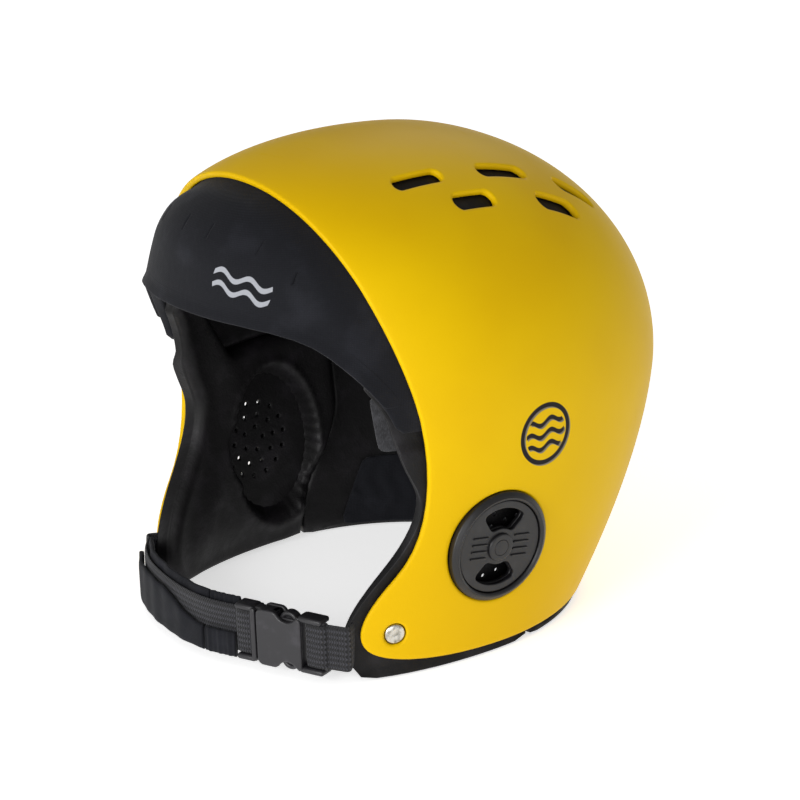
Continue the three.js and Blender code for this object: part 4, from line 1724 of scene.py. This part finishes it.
@dataclass
class EarVent:
    """A rotary ear vent: fixed ring and base, a turning disc and its pin."""

    side: int
    disc_radius: float = 20.3
    disc_top: float = 0.6
    disc_wall: float = 2.0
    base_wall: float = 1.8
    barrel_wall: float = 2.1
    flange: float = 1.5
    hub: float = 6.0
    window_in: float = 8.0
    window_out: float = 17.0
    half_angle: float = math.radians(39)
    turn: float = math.radians(10)
    ribs: int = 4
    rib_pitch: float = 3.0
    pin_head: float = 3.4

    @property
    def word(self) -> str:
        """Which ear it is over."""
        return "left" if self.side > 0 else "right"

    @property
    def matrix(self) -> Matrix:
        """The vent's frame on the shell, turned as the dial is left."""
        return FORM.wall_frame(*EAR, self.side) @ Matrix.Rotation(-self.side * self.turn, 4, "Z")

    def window_line(self, points: Array) -> Array:
        """Distance outside the two fan windows of a disc.

        Args:
            points: (n, 3) places in the vent's own frame.

        Returns:
            (n,) distances.
        """
        reach = np.hypot(points[:, 0], points[:, 1])
        lean = np.arctan2(np.abs(points[:, 0]), np.abs(points[:, 1]))
        radial = np.maximum(self.window_in - reach, reach - self.window_out)
        sideways = np.sin(np.clip(lean - self.half_angle, -1.5, 1.5)) * reach
        return -blend_least(-radial, -sideways, 3.0)

    def plate(self, top: float, wall: float, radius: float) -> bmesh.types.BMesh:
        """A round plate with two fan windows.

        Args:
            top: level of its outer face.
            wall: its thickness.
            radius: its radius.

        Returns:
            The mesh.
        """
        edge = EdgeShape(0.45, 0.3, steps=3)
        sheet = TrimmedSheet.flat(2 * radius + 4, 2 * radius + 4, 1.15)
        sheet.refine(self.window_line, 1.6)

        def line(points: Array) -> Array:
            """Distance inside the plate and outside its windows."""
            inside = radius - np.hypot(points[:, 0], points[:, 1])
            return np.minimum(inside, self.window_line(points)) - edge.reach

        sheet.trim(line)
        bm = sheet.thicken(0.0, wall, edge)
        bmesh.ops.translate(bm, vec=(0, 0, top), verts=bm.verts[:])
        return bm

    def disc(self) -> bmesh.types.BMesh:
        """The turning disc with its hub and grip ribs.

        Returns:
            The mesh, in the vent's own frame.
        """
        parts = [self.plate(self.disc_top, self.disc_wall, self.disc_radius)]
        top = self.disc_top + 1.3
        dish = rounded([(1.9, self.disc_top - 0.5, 0.1), (self.hub + 0.2, self.disc_top - 0.5, 0.1),
                        (self.hub, top, 0.7), (self.pin_head + 0.15, top, 0.1),
                        (self.pin_head + 0.15, top - 0.8, 0.1), (1.9, top - 0.8, 0.1)])
        parts.append(turned(dish, 64))
        rib_foot, rib_top = self.disc_top - 0.4, self.disc_top + 0.7
        for sign in (-1, 1):
            for i in range(self.ribs):
                y = (i - (self.ribs - 1) / 2) * self.rib_pitch
                low, high = sorted((sign * (self.hub + 0.8), sign * (self.window_out - 2.4)))
                parts.append(block((low, y - 0.45, rib_foot), (high, y + 0.45, rib_top), 0.3))
        return joined(*parts)

    def ring(self) -> bmesh.types.BMesh:
        """The fixed ring: a barrel through the shell with a rounded flange outside.

        Returns:
            The mesh, in the vent's own frame.
        """
        inner = self.disc_radius + GAP
        barrel, outer = inner + self.barrel_wall, inner + self.barrel_wall + self.flange
        low, skirt, top = -6.4, -2.2, 1.9
        profile = rounded([(inner, low, 0.3), (barrel, low, 0.3), (barrel, skirt, 0.2), (outer, skirt, 0.3),
                           (outer, 0.3, 0.5), (outer - 1.6, top - 0.3, 0.7), (inner + 1.0, top, 0.5),
                           (inner, top - 0.8, 0.4)])
        return turned(profile, 96)

    def pin(self) -> bmesh.types.BMesh:
        """The pin that holds the disc, with its low domed head.

        Returns:
            The mesh, in the vent's own frame.
        """
        tail = self.disc_top - self.disc_wall - self.base_wall - 2 * GAP
        head = self.disc_top + 0.6
        profile = rounded([(0, tail - 1, 0), (2.8, tail - 1, 0.2), (2.8, tail, 0.2), (1.6, tail, 0),
                           (1.6, head, 0), (self.pin_head, head, 0.1), (self.pin_head, head + 0.75, 0.2),
                           (0, head + 0.75, 0)])
        return turned(profile, 48)

    def build(self, plastic: bpy.types.Material) -> list[bpy.types.Object]:
        """Builds and dresses the vent.

        Args:
            plastic: its finish.

        Returns:
            The ring, base, disc and pin.
        """
        knob = Body.KNOB_LEFT if self.side > 0 else Body.KNOB_RIGHT
        base_top = self.disc_top - self.disc_wall - GAP
        shapes = (
            ("vent_flange", "vent_ring", Body.HELMET, self.ring()),
            ("vent_back", "vent_base", Body.HELMET, self.plate(base_top, self.base_wall, self.disc_radius)),
            ("vent_dial", "vent_disc", knob, self.disc()),
            ("vent_axle", "vent_pin", Body.HELMET, self.pin()),
        )
        return [Fitting(f"{name}_{self.word}", body, Slot.VENT, (f"{node}_{self.word}",))
                .place(moved(bm, self.matrix), plastic) for name, node, body, bm in shapes]


@dataclass
class StrapRivet:
    """The rivet that holds a strap tab, with its washer, on one cheek."""

    side: int
    head: float = 4.4
    shank: float = 2.1
    recess: float = 1.2
    tail: float = -8.0

    def build(self, steel: bpy.types.Material) -> list[bpy.types.Object]:
        """Builds and dresses the rivet and washer.

        Args:
            steel: their finish.

        Returns:
            The rivet and the washer.
        """
        word = "left" if self.side > 0 else "right"
        matrix = FORM.wall_frame(*RIVET, self.side)
        top = -self.recess
        profile = rounded([(0, self.tail, 0), (3.4, self.tail, 0.2), (3.4, self.tail + 1, 0.2),
                           (self.shank, self.tail + 1, 0), (self.shank, top, 0), (self.head, top, 0.2),
                           (self.head - 0.1, top + 0.7, 0.5), (self.head - 1.4, top + 1.25, 0.8),
                           (1.2, top + 1.15, 0.4), (0, top + 0.95, 0)])
        bm = moved(turned(profile, 56), matrix)
        fitting = Fitting(f"cheek_rivet_{word}", Body.HELMET, Slot.STEEL, (f"strap_rivet_{word}",))
        rivet = fitting.place(bm, steel)
        low = self.tail + 1 + GAP
        washer = rounded([(self.shank + GAP, low, 0.1), (5, low, 0.2), (5, low + 1, 0.2),
                          (self.shank + GAP, low + 1, 0.1)])
        bm = moved(turned(washer, 48), matrix)
        fitting = Fitting(f"cheek_washer_{word}", Body.HELMET, Slot.STEEL, (f"rivet_washer_{word}",))
        return [rivet, fitting.place(bm, steel)]


@dataclass
class ChinStrap:
    """Webbing, its neoprene sleeve, and the tabs that hold it between shell and liner."""

    level: float = 16.0
    width: float = 20.0
    wall: float = 1.6
    hinge: Pair = (67.0, -81.0)
    female_end: Pair = (61.5, -83.5)
    male_end: Pair = (21.0, -97.3)
    chin: tuple = ((6, -102), (-9, -102.8), (-28, -100.2), (-46, -95),
                   (-58, -88.6), (-67, -81), (-70, -78.5))
    sleeve_width: float = 27.0
    sleeve_wall: float = 2.2
    clear: float = 0.9
    travel: float = RELEASE_TRAVEL

    def spot(self, x: float, y: float) -> tuple[float, float, float]:
        """A place at the strap's level in the helmet's frame."""
        return (x, y + FORM.y_shift, self.level)

    def tab_route(self, side: int) -> Array:
        """The route of a cheek tab from behind its rivet to the hinge.

        Args:
            side: 1 for the wearer's left, -1 for the right.

        Returns:
            (40, 3) places.
        """
        inset = UNDER_SHELL + self.clear + self.wall / 2
        places = []
        for y in (RIVET[0] + 8, RIVET[0], RIVET[0] - 6.3, -73 + FORM.y_shift):
            places.append((FORM.wall_x(y, self.level, inset), y, self.level))
        hinge_x, hinge_y = self.hinge
        places += [self.spot(hinge_x + 3.2, hinge_y + 2.2), self.spot(hinge_x - 1, hinge_y - 0.4)]
        return smooth_route([(side * x, y, z) for x, y, z in places], 40)

    def build_tabs(self, cloth: bpy.types.Material) -> list[bpy.types.Object]:
        """The two tabs.

        Args:
            cloth: their finish.

        Returns:
            The left tab and the right one.
        """
        made = []
        for word, side in (("left", 1), ("right", -1)):
            route = self.tab_route(side)
            upright = np.tile((0.0, 0.0, 1.0), (len(route), 1))
            share = smooth_step(0.55, 0.95, np.linspace(0, 1, len(route)))
            upright[:, 0] = side * 0.12 * (1 - share)
            upright /= np.linalg.norm(upright, axis=1, keepdims=True)
            bm = Ribbon(self.width, self.wall).build(route, upright)
            fitting = Fitting(f"cheek_tab_{word}", Body.HELMET, Slot.WEBBING, (f"strap_tab_{word}",))
            made.append(fitting.place(bm, cloth))
        return made

    def long_route(self) -> Array:
        """The route of the long webbing from the buckle round the chin to the right cheek.

        Returns:
            (n, 3) places.
        """
        inner = np.array(self.spot(*self.male_end)) + np.array(BUCKLE.axis) * -1.5
        places = [tuple(inner), self.spot(*self.male_end), *(self.spot(*place) for place in self.chin)]
        route = smooth_route(places, 160)
        return route[route[:, 0] > -self.hinge[0] + GAP]

    def build_webbing(self, cloth: bpy.types.Material) -> list[bpy.types.Object]:
        """The short and the long webbing.

        Args:
            cloth: their finish.

        Returns:
            The short webbing and the long one.
        """
        middle = [(a + b) / 2 for a, b in zip(self.hinge, self.female_end)]
        inner = np.array(self.spot(*self.female_end)) + np.array(BUCKLE.axis) * 4.5
        short = smooth_route([self.spot(self.hinge[0] - GAP, self.hinge[1] - 0.1), self.spot(*middle),
                              self.spot(*self.female_end), tuple(inner)], 30)
        made = []
        straps = (("webbing_short", "short_webbing", short),
                  ("webbing_long", "long_webbing", self.long_route()))
        for name, node, route in straps:
            bm = Ribbon(self.width, self.wall).build(route, (0, 0, 1))
            made.append(Fitting(name, Body.STRAP, Slot.WEBBING, (node,)).place(bm, cloth))
        return made

    def layer(self, line: Array, sign: int, top: Array, foot: Array) -> bmesh.types.BMesh:
        """One layer of the sleeve, in front of (-1) or behind (1) the webbing.

        Args:
            line: the webbing's route along the layer.
            sign: which side of the webbing it lies on.
            top: height of its upper edge above the webbing's middle at each place.
            foot: height of its lower edge.

        Returns:
            The layer's mesh.
        """
        share = np.linspace(0, 1, len(line))
        ripple = 0.3 * np.sin(share * 29 + sign) * np.sin(share * 9)
        offset = sign * (self.wall / 2 + 0.5 + self.sleeve_wall / 2) + ripple
        ribbon = Ribbon(self.sleeve_width, self.sleeve_wall, around=36, roundness=0.3)
        return ribbon.build(line, (0, 0, 1), offset, (top + foot) / 2, (top - foot) / self.sleeve_width)

    def build_sleeve(self, cloth: bpy.types.Material) -> list[bpy.types.Object]:
        """The sleeve's two layers, and the loose collar at the buckle end of the long webbing.

        Args:
            cloth: their finish.

        Returns:
            The layers and the two halves of the collar.
        """
        route = self.long_route()
        reach = np.concatenate([[0], np.cumsum(np.linalg.norm(np.diff(route, axis=0), axis=1))])
        start = 1.5 + self.travel + 1
        half = self.sleeve_width / 2
        made = []
        for part, low, high in (("layer", start, reach[-1] - 6), ("collar", 2.4, start - 0.1)):
            line = smooth_route(route[(reach > low) & (reach < high)][::4], 110 if part == "layer" else 40)
            share = np.linspace(0, 1, len(line))
            flap = share if part == "layer" else share * 0
            edges = {
                "front": (-1, -1.5 + 8 * smooth_step(0.0, 0.45, flap),
                          -half + 1.0 + 15 * smooth_step(0.9, 1.0, flap) ** 0.8),
                "back": (1, np.full(len(line), half - 0.6), np.full(len(line), -half + 2.0)),
            }
            for word, (sign, top, foot) in edges.items():
                bm = self.layer(line, sign, top, foot)
                nodes = (f"sleeve_{word}",) if part == "layer" else ()
                piece = Fitting(f"sleeve_{part}_{word}", Body.STRAP, Slot.NEOPRENE, nodes).place(bm, cloth)
                if part == "collar":
                    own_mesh(piece)
                made.append(piece)
        return made


@dataclass
class Buckle:
    """The side-release buckle. Local X runs from the female end to the male end, local Y out."""

    half: float = 4.5
    high: float = 12.5
    plate: float = 1.9
    mouth: float = 10.5
    body_start: float = -11.5
    button_at: float = -4.5
    button_level: float = 8.3
    button_radius: float = 4.6

    def __post_init__(self) -> None:
        """Takes the buckle's frame from the frame's release joint and the buckle's nodes."""
        joint = next(j for j in frame["joints"] if j["name"] == "buckle_release")
        self.axis = Vector(joint["axis"]).normalized()
        ends = [(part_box("buckle_female"), 1), (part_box("buckle_male"), -1)]
        middle = sum(((low + high) / 2 for (low, high), _ in ends), Vector()) / 2
        self.level = middle.z / MM

    def set_ends(self, female: Pair, male: Pair) -> None:
        """Places the buckle between its two ends, given in plan.

        Args:
            female: [x, y] of the female end.
            male: [x, y] of the male end.
        """
        a, b = (Vector((x, y + FORM.y_shift, self.level)) for x, y in (female, male))
        up = Vector((0, 0, 1))
        self.matrix = frame_matrix(self.axis, up.cross(self.axis), up, (a + b) / 2)
        self.end = (b - a).length / 2

    def slab(self, line: Field, thickness: float, edge: EdgeShape, cell: float = 0.9) -> bmesh.types.BMesh:
        """A flat moulding whose outline a field gives in local X and Z, centred through Y.

        Args:
            line: distance inside the outline at local X and Z.
            thickness: its size along local Y.
            edge: the shape of its edges.
            cell: the size of the sheet's cells.

        Returns:
            The mesh, in the buckle's own frame.
        """
        sheet = TrimmedSheet.flat(2 * self.end + 4, 2 * self.high + 8, cell)
        sheet.trim(lambda p: line(p[:, 0], p[:, 1]) - edge.reach)
        bm = sheet.thicken(0.0, thickness, edge)
        bmesh.ops.translate(bm, vec=(0, 0, thickness / 2), verts=bm.verts[:])
        swap = Matrix(((1, 0, 0, 0), (0, 0, 1, 0), (0, 1, 0, 0), (0, 0, 0, 1)))
        return moved(bm, swap)

    def shifted_out(self, bm: bmesh.types.BMesh, distance: float) -> bmesh.types.BMesh:
        """The mesh moved along local Y."""
        bmesh.ops.translate(bm, vec=(0, distance, 0), verts=bm.verts[:])
        return bm

    def plate_line(self, x: Array, z: Array) -> Array:
        """The outline of the socket's plates: a panel with an arc cut at each side.

        Args:
            x: local X of places.
            z: their local Z.

        Returns:
            Distances inside the outline.
        """
        panel = blend_least(np.minimum(x - self.body_start, self.mouth - x), self.high - np.abs(z), 2.2)
        arc = np.hypot(x - self.button_at, np.abs(z) - self.high - 2.0) - self.button_radius - 1.0
        return blend_least(panel, arc, 1.0)

    def shoulders(self, low: float, high: float, bar_low: float, bar_high: float) -> list[bmesh.types.BMesh]:
        """Two rounded cheeks above and below the webbing, and the bar that joins them.

        Args:
            low: where the cheeks start along X.
            high: where they end.
            bar_low: where the bar starts along X.
            bar_high: where it ends.

        Returns:
            The two cheeks and the bar.
        """
        made = []
        for sign in (-1, 1):
            near, far = sorted((sign * 9.9, sign * self.high))
            made.append(block((low, -3.9, near), (high, 3.9, far), 1.2, 4))
        made.append(block((bar_low, -1.2, -self.high + 1), (bar_high, 1.2, self.high - 1), 0.9, 3))
        return made

    def female(self) -> bmesh.types.BMesh:
        """The socket: two plates, a closed end and the bar that the short webbing holds.

        Returns:
            The mesh, in the helmet's frame.
        """
        edge = EdgeShape(0.8, 0.5, steps=4)
        out = self.half - self.plate / 2
        parts = [self.shifted_out(self.slab(self.plate_line, self.plate, edge), sign * out)
                 for sign in (-1, 1)]

        def end_line(x: Array, z: Array) -> Array:
            """The outline of the socket's closed end."""
            panel = np.minimum(x - self.body_start - 0.2, self.body_start + 3.0 - x)
            return blend_least(panel, self.high - 0.3 - np.abs(z), 1.5)

        parts.append(self.slab(end_line, 2 * self.half - 1.2, EdgeShape(0.6, 0.6)))
        parts += self.shoulders(-self.end, self.body_start + 1.5, -self.end, -self.end + 3.0)
        return moved(joined(*parts), self.matrix)

    def male(self) -> bmesh.types.BMesh:
        """The insert: an open frame for the webbing, two rails, a yoke and the guide rib.

        Returns:
            The mesh, in the helmet's frame.
        """
        face, thick = self.mouth + 0.7, 2 * self.half - 2 * GAP
        parts = self.shoulders(face + 1, self.end, self.end - 3.0, self.end)

        def head_line(x: Array, z: Array) -> Array:
            """The outline of the insert's head."""
            panel = np.minimum(x - face, face + 2.4 - x)
            return blend_least(panel, self.high - np.abs(z), 1.0)

        parts.append(self.slab(head_line, thick, EdgeShape(0.7, 0.7)))
        guide = self.half - self.plate - 0.4
        yoke_up = self.end - 1.5 - RELEASE_TRAVEL - GAP
        for sign in (-1, 1):
            low, high = sorted((sign * 10.6, sign * 12.1))
            parts.append(block((yoke_up - 2.4, -guide, low), (face + 1, guide, high), 0.4))
        parts.append(block((yoke_up - 2.4, -guide, -12.1), (yoke_up, guide, 12.1), 0.4))
        parts.append(block((self.button_at, -guide, -0.8), (yoke_up - 1, guide, 0.8), 0.35))
        return moved(joined(*parts), self.matrix)

    def prong(self, sign: int) -> bmesh.types.BMesh:
        """A sprung arm with its oval push button, which has a dished middle.

        Args:
            sign: 1 for the upper one, -1 for the lower.

        Returns:
            The mesh, in the helmet's frame.
        """
        guide = self.half - self.plate - 0.4
        centre = Vector((self.button_at, 0, sign * self.button_level))
        radius = self.button_radius
        profile = rounded([(0, -guide, 0), (radius, -guide, 0.6), (radius, guide, 0.9),
                           (radius - 1.6, guide - 0.1, 0.5), (radius - 2.2, guide - 1.0, 0.4),
                           (0, guide - 1.2, 0)])
        head = turned(profile, 56)
        turn = Matrix.Translation(centre) @ Matrix.Rotation(-math.pi / 2, 4, "X")
        head.transform(turn)
        low, high = sorted((sign * (self.high - 5.3), sign * (self.high - 2.7)))
        arm = block((self.button_at - self.button_radius, -guide, low), (0.6, guide, high), 0.5)
        return moved(joined(head, arm), self.matrix)

    def build(self, plastic: bpy.types.Material, cloth: bpy.types.Material) -> list[bpy.types.Object]:
        """Builds and dresses the buckle and the webbing wound on its bars.

        Args:
            plastic: the buckle's finish.
            cloth: the webbing's finish.

        Returns:
            The socket, insert, buttons and the two loops of webbing.
        """
        shapes = (
            ("buckle_socket", "buckle_female", Body.STRAP, self.female()),
            ("buckle_plug", "buckle_male", Body.INSERT, self.male()),
            ("buckle_button_upper", "prong_upper", Body.UPPER, self.prong(1)),
            ("buckle_button_lower", "prong_lower", Body.LOWER, self.prong(-1)),
        )
        made = [Fitting(name, body, Slot.BUCKLE, (node,)).place(bm, plastic)
                for name, node, body, bm in shapes]
        made.append(self.wrap("web_loop_short", Body.STRAP, -self.end + 1.5, self.body_start - 1.6, cloth))
        made.append(self.wrap("web_loop_long", Body.INSERT, self.end - 1.5, self.mouth + 3.4, cloth))
        return made

    def wrap(self, name: str, body: Body, bar: float, reach: float,
             cloth: bpy.types.Material) -> bpy.types.Object:
        """Webbing that passes round a bar and lies over it on the outside.

        Args:
            name: the piece's name.
            body: the body it rides on.
            bar: the bar's middle along local X.
            reach: how far along local X the loop goes.
            cloth: its finish.

        Returns:
            The loop.
        """
        turn = 2.1
        away = math.copysign(1.0, bar - reach)
        places = [(reach, -1.0), (bar - away * 2.0, -1.4)]
        for angle in np.linspace(-math.pi / 2, math.pi / 2, 7):
            places.append((bar + away * turn * math.cos(angle), turn * math.sin(angle)))
        places += [(bar - away * 2.0, 2.2), (reach + away * 1.0, 1.9), (reach, 1.6)]
        route = smooth_route([self.matrix @ Vector((x, y, 0)) for x, y in places], 60)
        bm = Ribbon(19.2, 1.3).build(route, (0, 0, 1))
        return Fitting(name, body, Slot.WEBBING).place(bm, cloth)


BUCKLE = Buckle()


# ---------------------------------------------------------------- the studio
@dataclass(frozen=True)
class Lamp:
    """A soft rectangular lamp aimed at the helmet."""

    name: str
    azimuth: float
    elevation: float
    distance: float
    size: float
    power: float
    tint: Colour = (1, 1, 1)

    def build(self, target: Vector) -> None:
        """Adds the lamp.

        Args:
            target: the place it is aimed at, in metres.
        """
        data = bpy.data.lights.new(self.name, "AREA")
        data.shape, data.size, data.energy, data.color = "SQUARE", self.size, self.power, self.tint
        lamp = bpy.data.objects.new(self.name, data)
        a, e = math.radians(self.azimuth), math.radians(self.elevation)
        away = Vector((math.sin(a) * math.cos(e), -math.cos(a) * math.cos(e), math.sin(e)))
        lamp.location = target + away * self.distance
        lamp.rotation_euler = away.to_track_quat("Z", "Y").to_euler()
        bpy.context.scene.collection.objects.link(lamp)


@dataclass(frozen=True)
class Studio:
    """A pale floor, soft lamps and the camera."""

    target: Colour = (4.967, -4.534, 86.035)
    back: Colour = (0.74398, -0.57195, 0.34550)
    up: Colour = (-0.24787, 0.24396, 0.93758)
    distance: float = 1853.94
    lens: float = 196.6
    sensor: float = 36.0
    floor_half: float = 40.0
    floor_drop: float = 0.0005
    floor_glow: float = 0.6
    sky: float = 0.36
    lamps: tuple = (
        Lamp("key", 14, 16, 1.6, 0.8, 16),
        Lamp("front_fill", 58, 12, 2.4, 1.2, 11),
        Lamp("rear_fill", 215, 30, 2.6, 1.2, 9),
    )

    def build(self) -> None:
        """Adds the floor, lamps, sky and camera."""
        bm = bmesh.new()
        bmesh.ops.create_grid(bm, x_segments=1, y_segments=1, size=self.floor_half)
        mesh = bpy.data.meshes.new("floor")
        bm.to_mesh(mesh)
        bm.free()
        floor = bpy.data.objects.new("floor", mesh)
        floor.location.z = -self.floor_drop
        bpy.context.scene.collection.objects.link(floor)
        graph = Graph("floor_paint", {"Roughness": 0.9, "Emission Color": (1, 1, 1, 1),
                                      "Emission Strength": self.floor_glow})
        speckle = graph.noise(graph.place(), 40, 2.0)
        graph.feed("Base Color", graph.mix(speckle, (0.93, 0.93, 0.93, 1), (0.95, 0.95, 0.95, 1)))
        mesh.materials.append(graph.material)
        target = Vector(self.target) * MM
        for lamp in self.lamps:
            lamp.build(target)
        world = bpy.data.worlds.new("studio")
        world.use_nodes = True
        backdrop = world.node_tree.nodes["Background"]
        backdrop.inputs["Color"].default_value = (1, 1, 1, 1)
        backdrop.inputs["Strength"].default_value = self.sky
        bpy.context.scene.world = world
        bpy.context.scene.view_settings.view_transform = "Standard"
        data = bpy.data.cameras.new("camera")
        data.lens, data.sensor_width = self.lens, self.sensor
        data.clip_end = 100
        camera = bpy.data.objects.new("camera", data)
        back, up = Vector(self.back), Vector(self.up)
        camera.matrix_world = frame_matrix(up.cross(back), up, back, target + back * self.distance * MM)
        bpy.context.scene.collection.objects.link(camera)
        bpy.context.scene.camera = camera


@dataclass
class Finishes:
    """Every material of the helmet."""

    shell: bpy.types.Material = field(default_factory=lambda: ShellPaint().material())
    foam: bpy.types.Material = field(default_factory=lambda: Foam().material())
    felt: bpy.types.Material = field(default_factory=lambda: Felt().material())
    neoprene: bpy.types.Material = field(default_factory=lambda: Neoprene().material())
    webbing: bpy.types.Material = field(default_factory=lambda: Webbing().material())
    steel: bpy.types.Material = field(default_factory=lambda: TurnedSteel().material())
    vent: bpy.types.Material = field(default_factory=lambda: Moulding(
        "vent_moulding", linear(14, 13, 15), linear(28, 27, 30), 0.36).material())
    buckle: bpy.types.Material = field(default_factory=lambda: Moulding(
        "buckle_moulding", linear(30, 29, 32), linear(50, 48, 53), 0.36, 0.5).material())

    def band(self) -> bpy.types.Material:
        """Neoprene with the printed waves at the wearer's left of the brow.

        Returns:
            The material.
        """
        mark = WaveMark(centre=(27, -95, 165), right=(0.93, 0.31, -0.2), up=(0.12, 0.2, 0.97), radius=14,
                        stroke=2.2, ring=False, waves=2, pitch=5.6, swell=1.5, length=13)
        return Neoprene("neoprene_printed", mark=mark).material()


def main() -> None:
    """Builds the helmet and its studio."""
    logging.basicConfig(level=logging.INFO, format="%(name)s: %(message)s")
    finishes = Finishes()
    strap = ChinStrap()
    BUCKLE.set_ends(strap.female_end, strap.male_end)
    Shell().build(finishes.shell)
    for piece in BrowBand().build(finishes.band()):
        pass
    liner = Liner()
    pads = liner.build_sides(finishes.foam)
    pads += [liner.build_crown(finishes.foam), liner.build_rear(finishes.foam)]
    pads += liner.build_ear_cloths(finishes.foam)
    pads += liner.build_nape(finishes.neoprene, finishes.felt)
    for side in (1, -1):
        EarVent(side).build(finishes.vent)
        StrapRivet(side).build(finishes.steel)
    strap.build_tabs(finishes.webbing)
    strap.build_webbing(finishes.webbing)
    strap.build_sleeve(finishes.neoprene)
    BUCKLE.build(finishes.buckle, finishes.webbing)
    Studio().build()


if __name__ == "__main__":
    main()
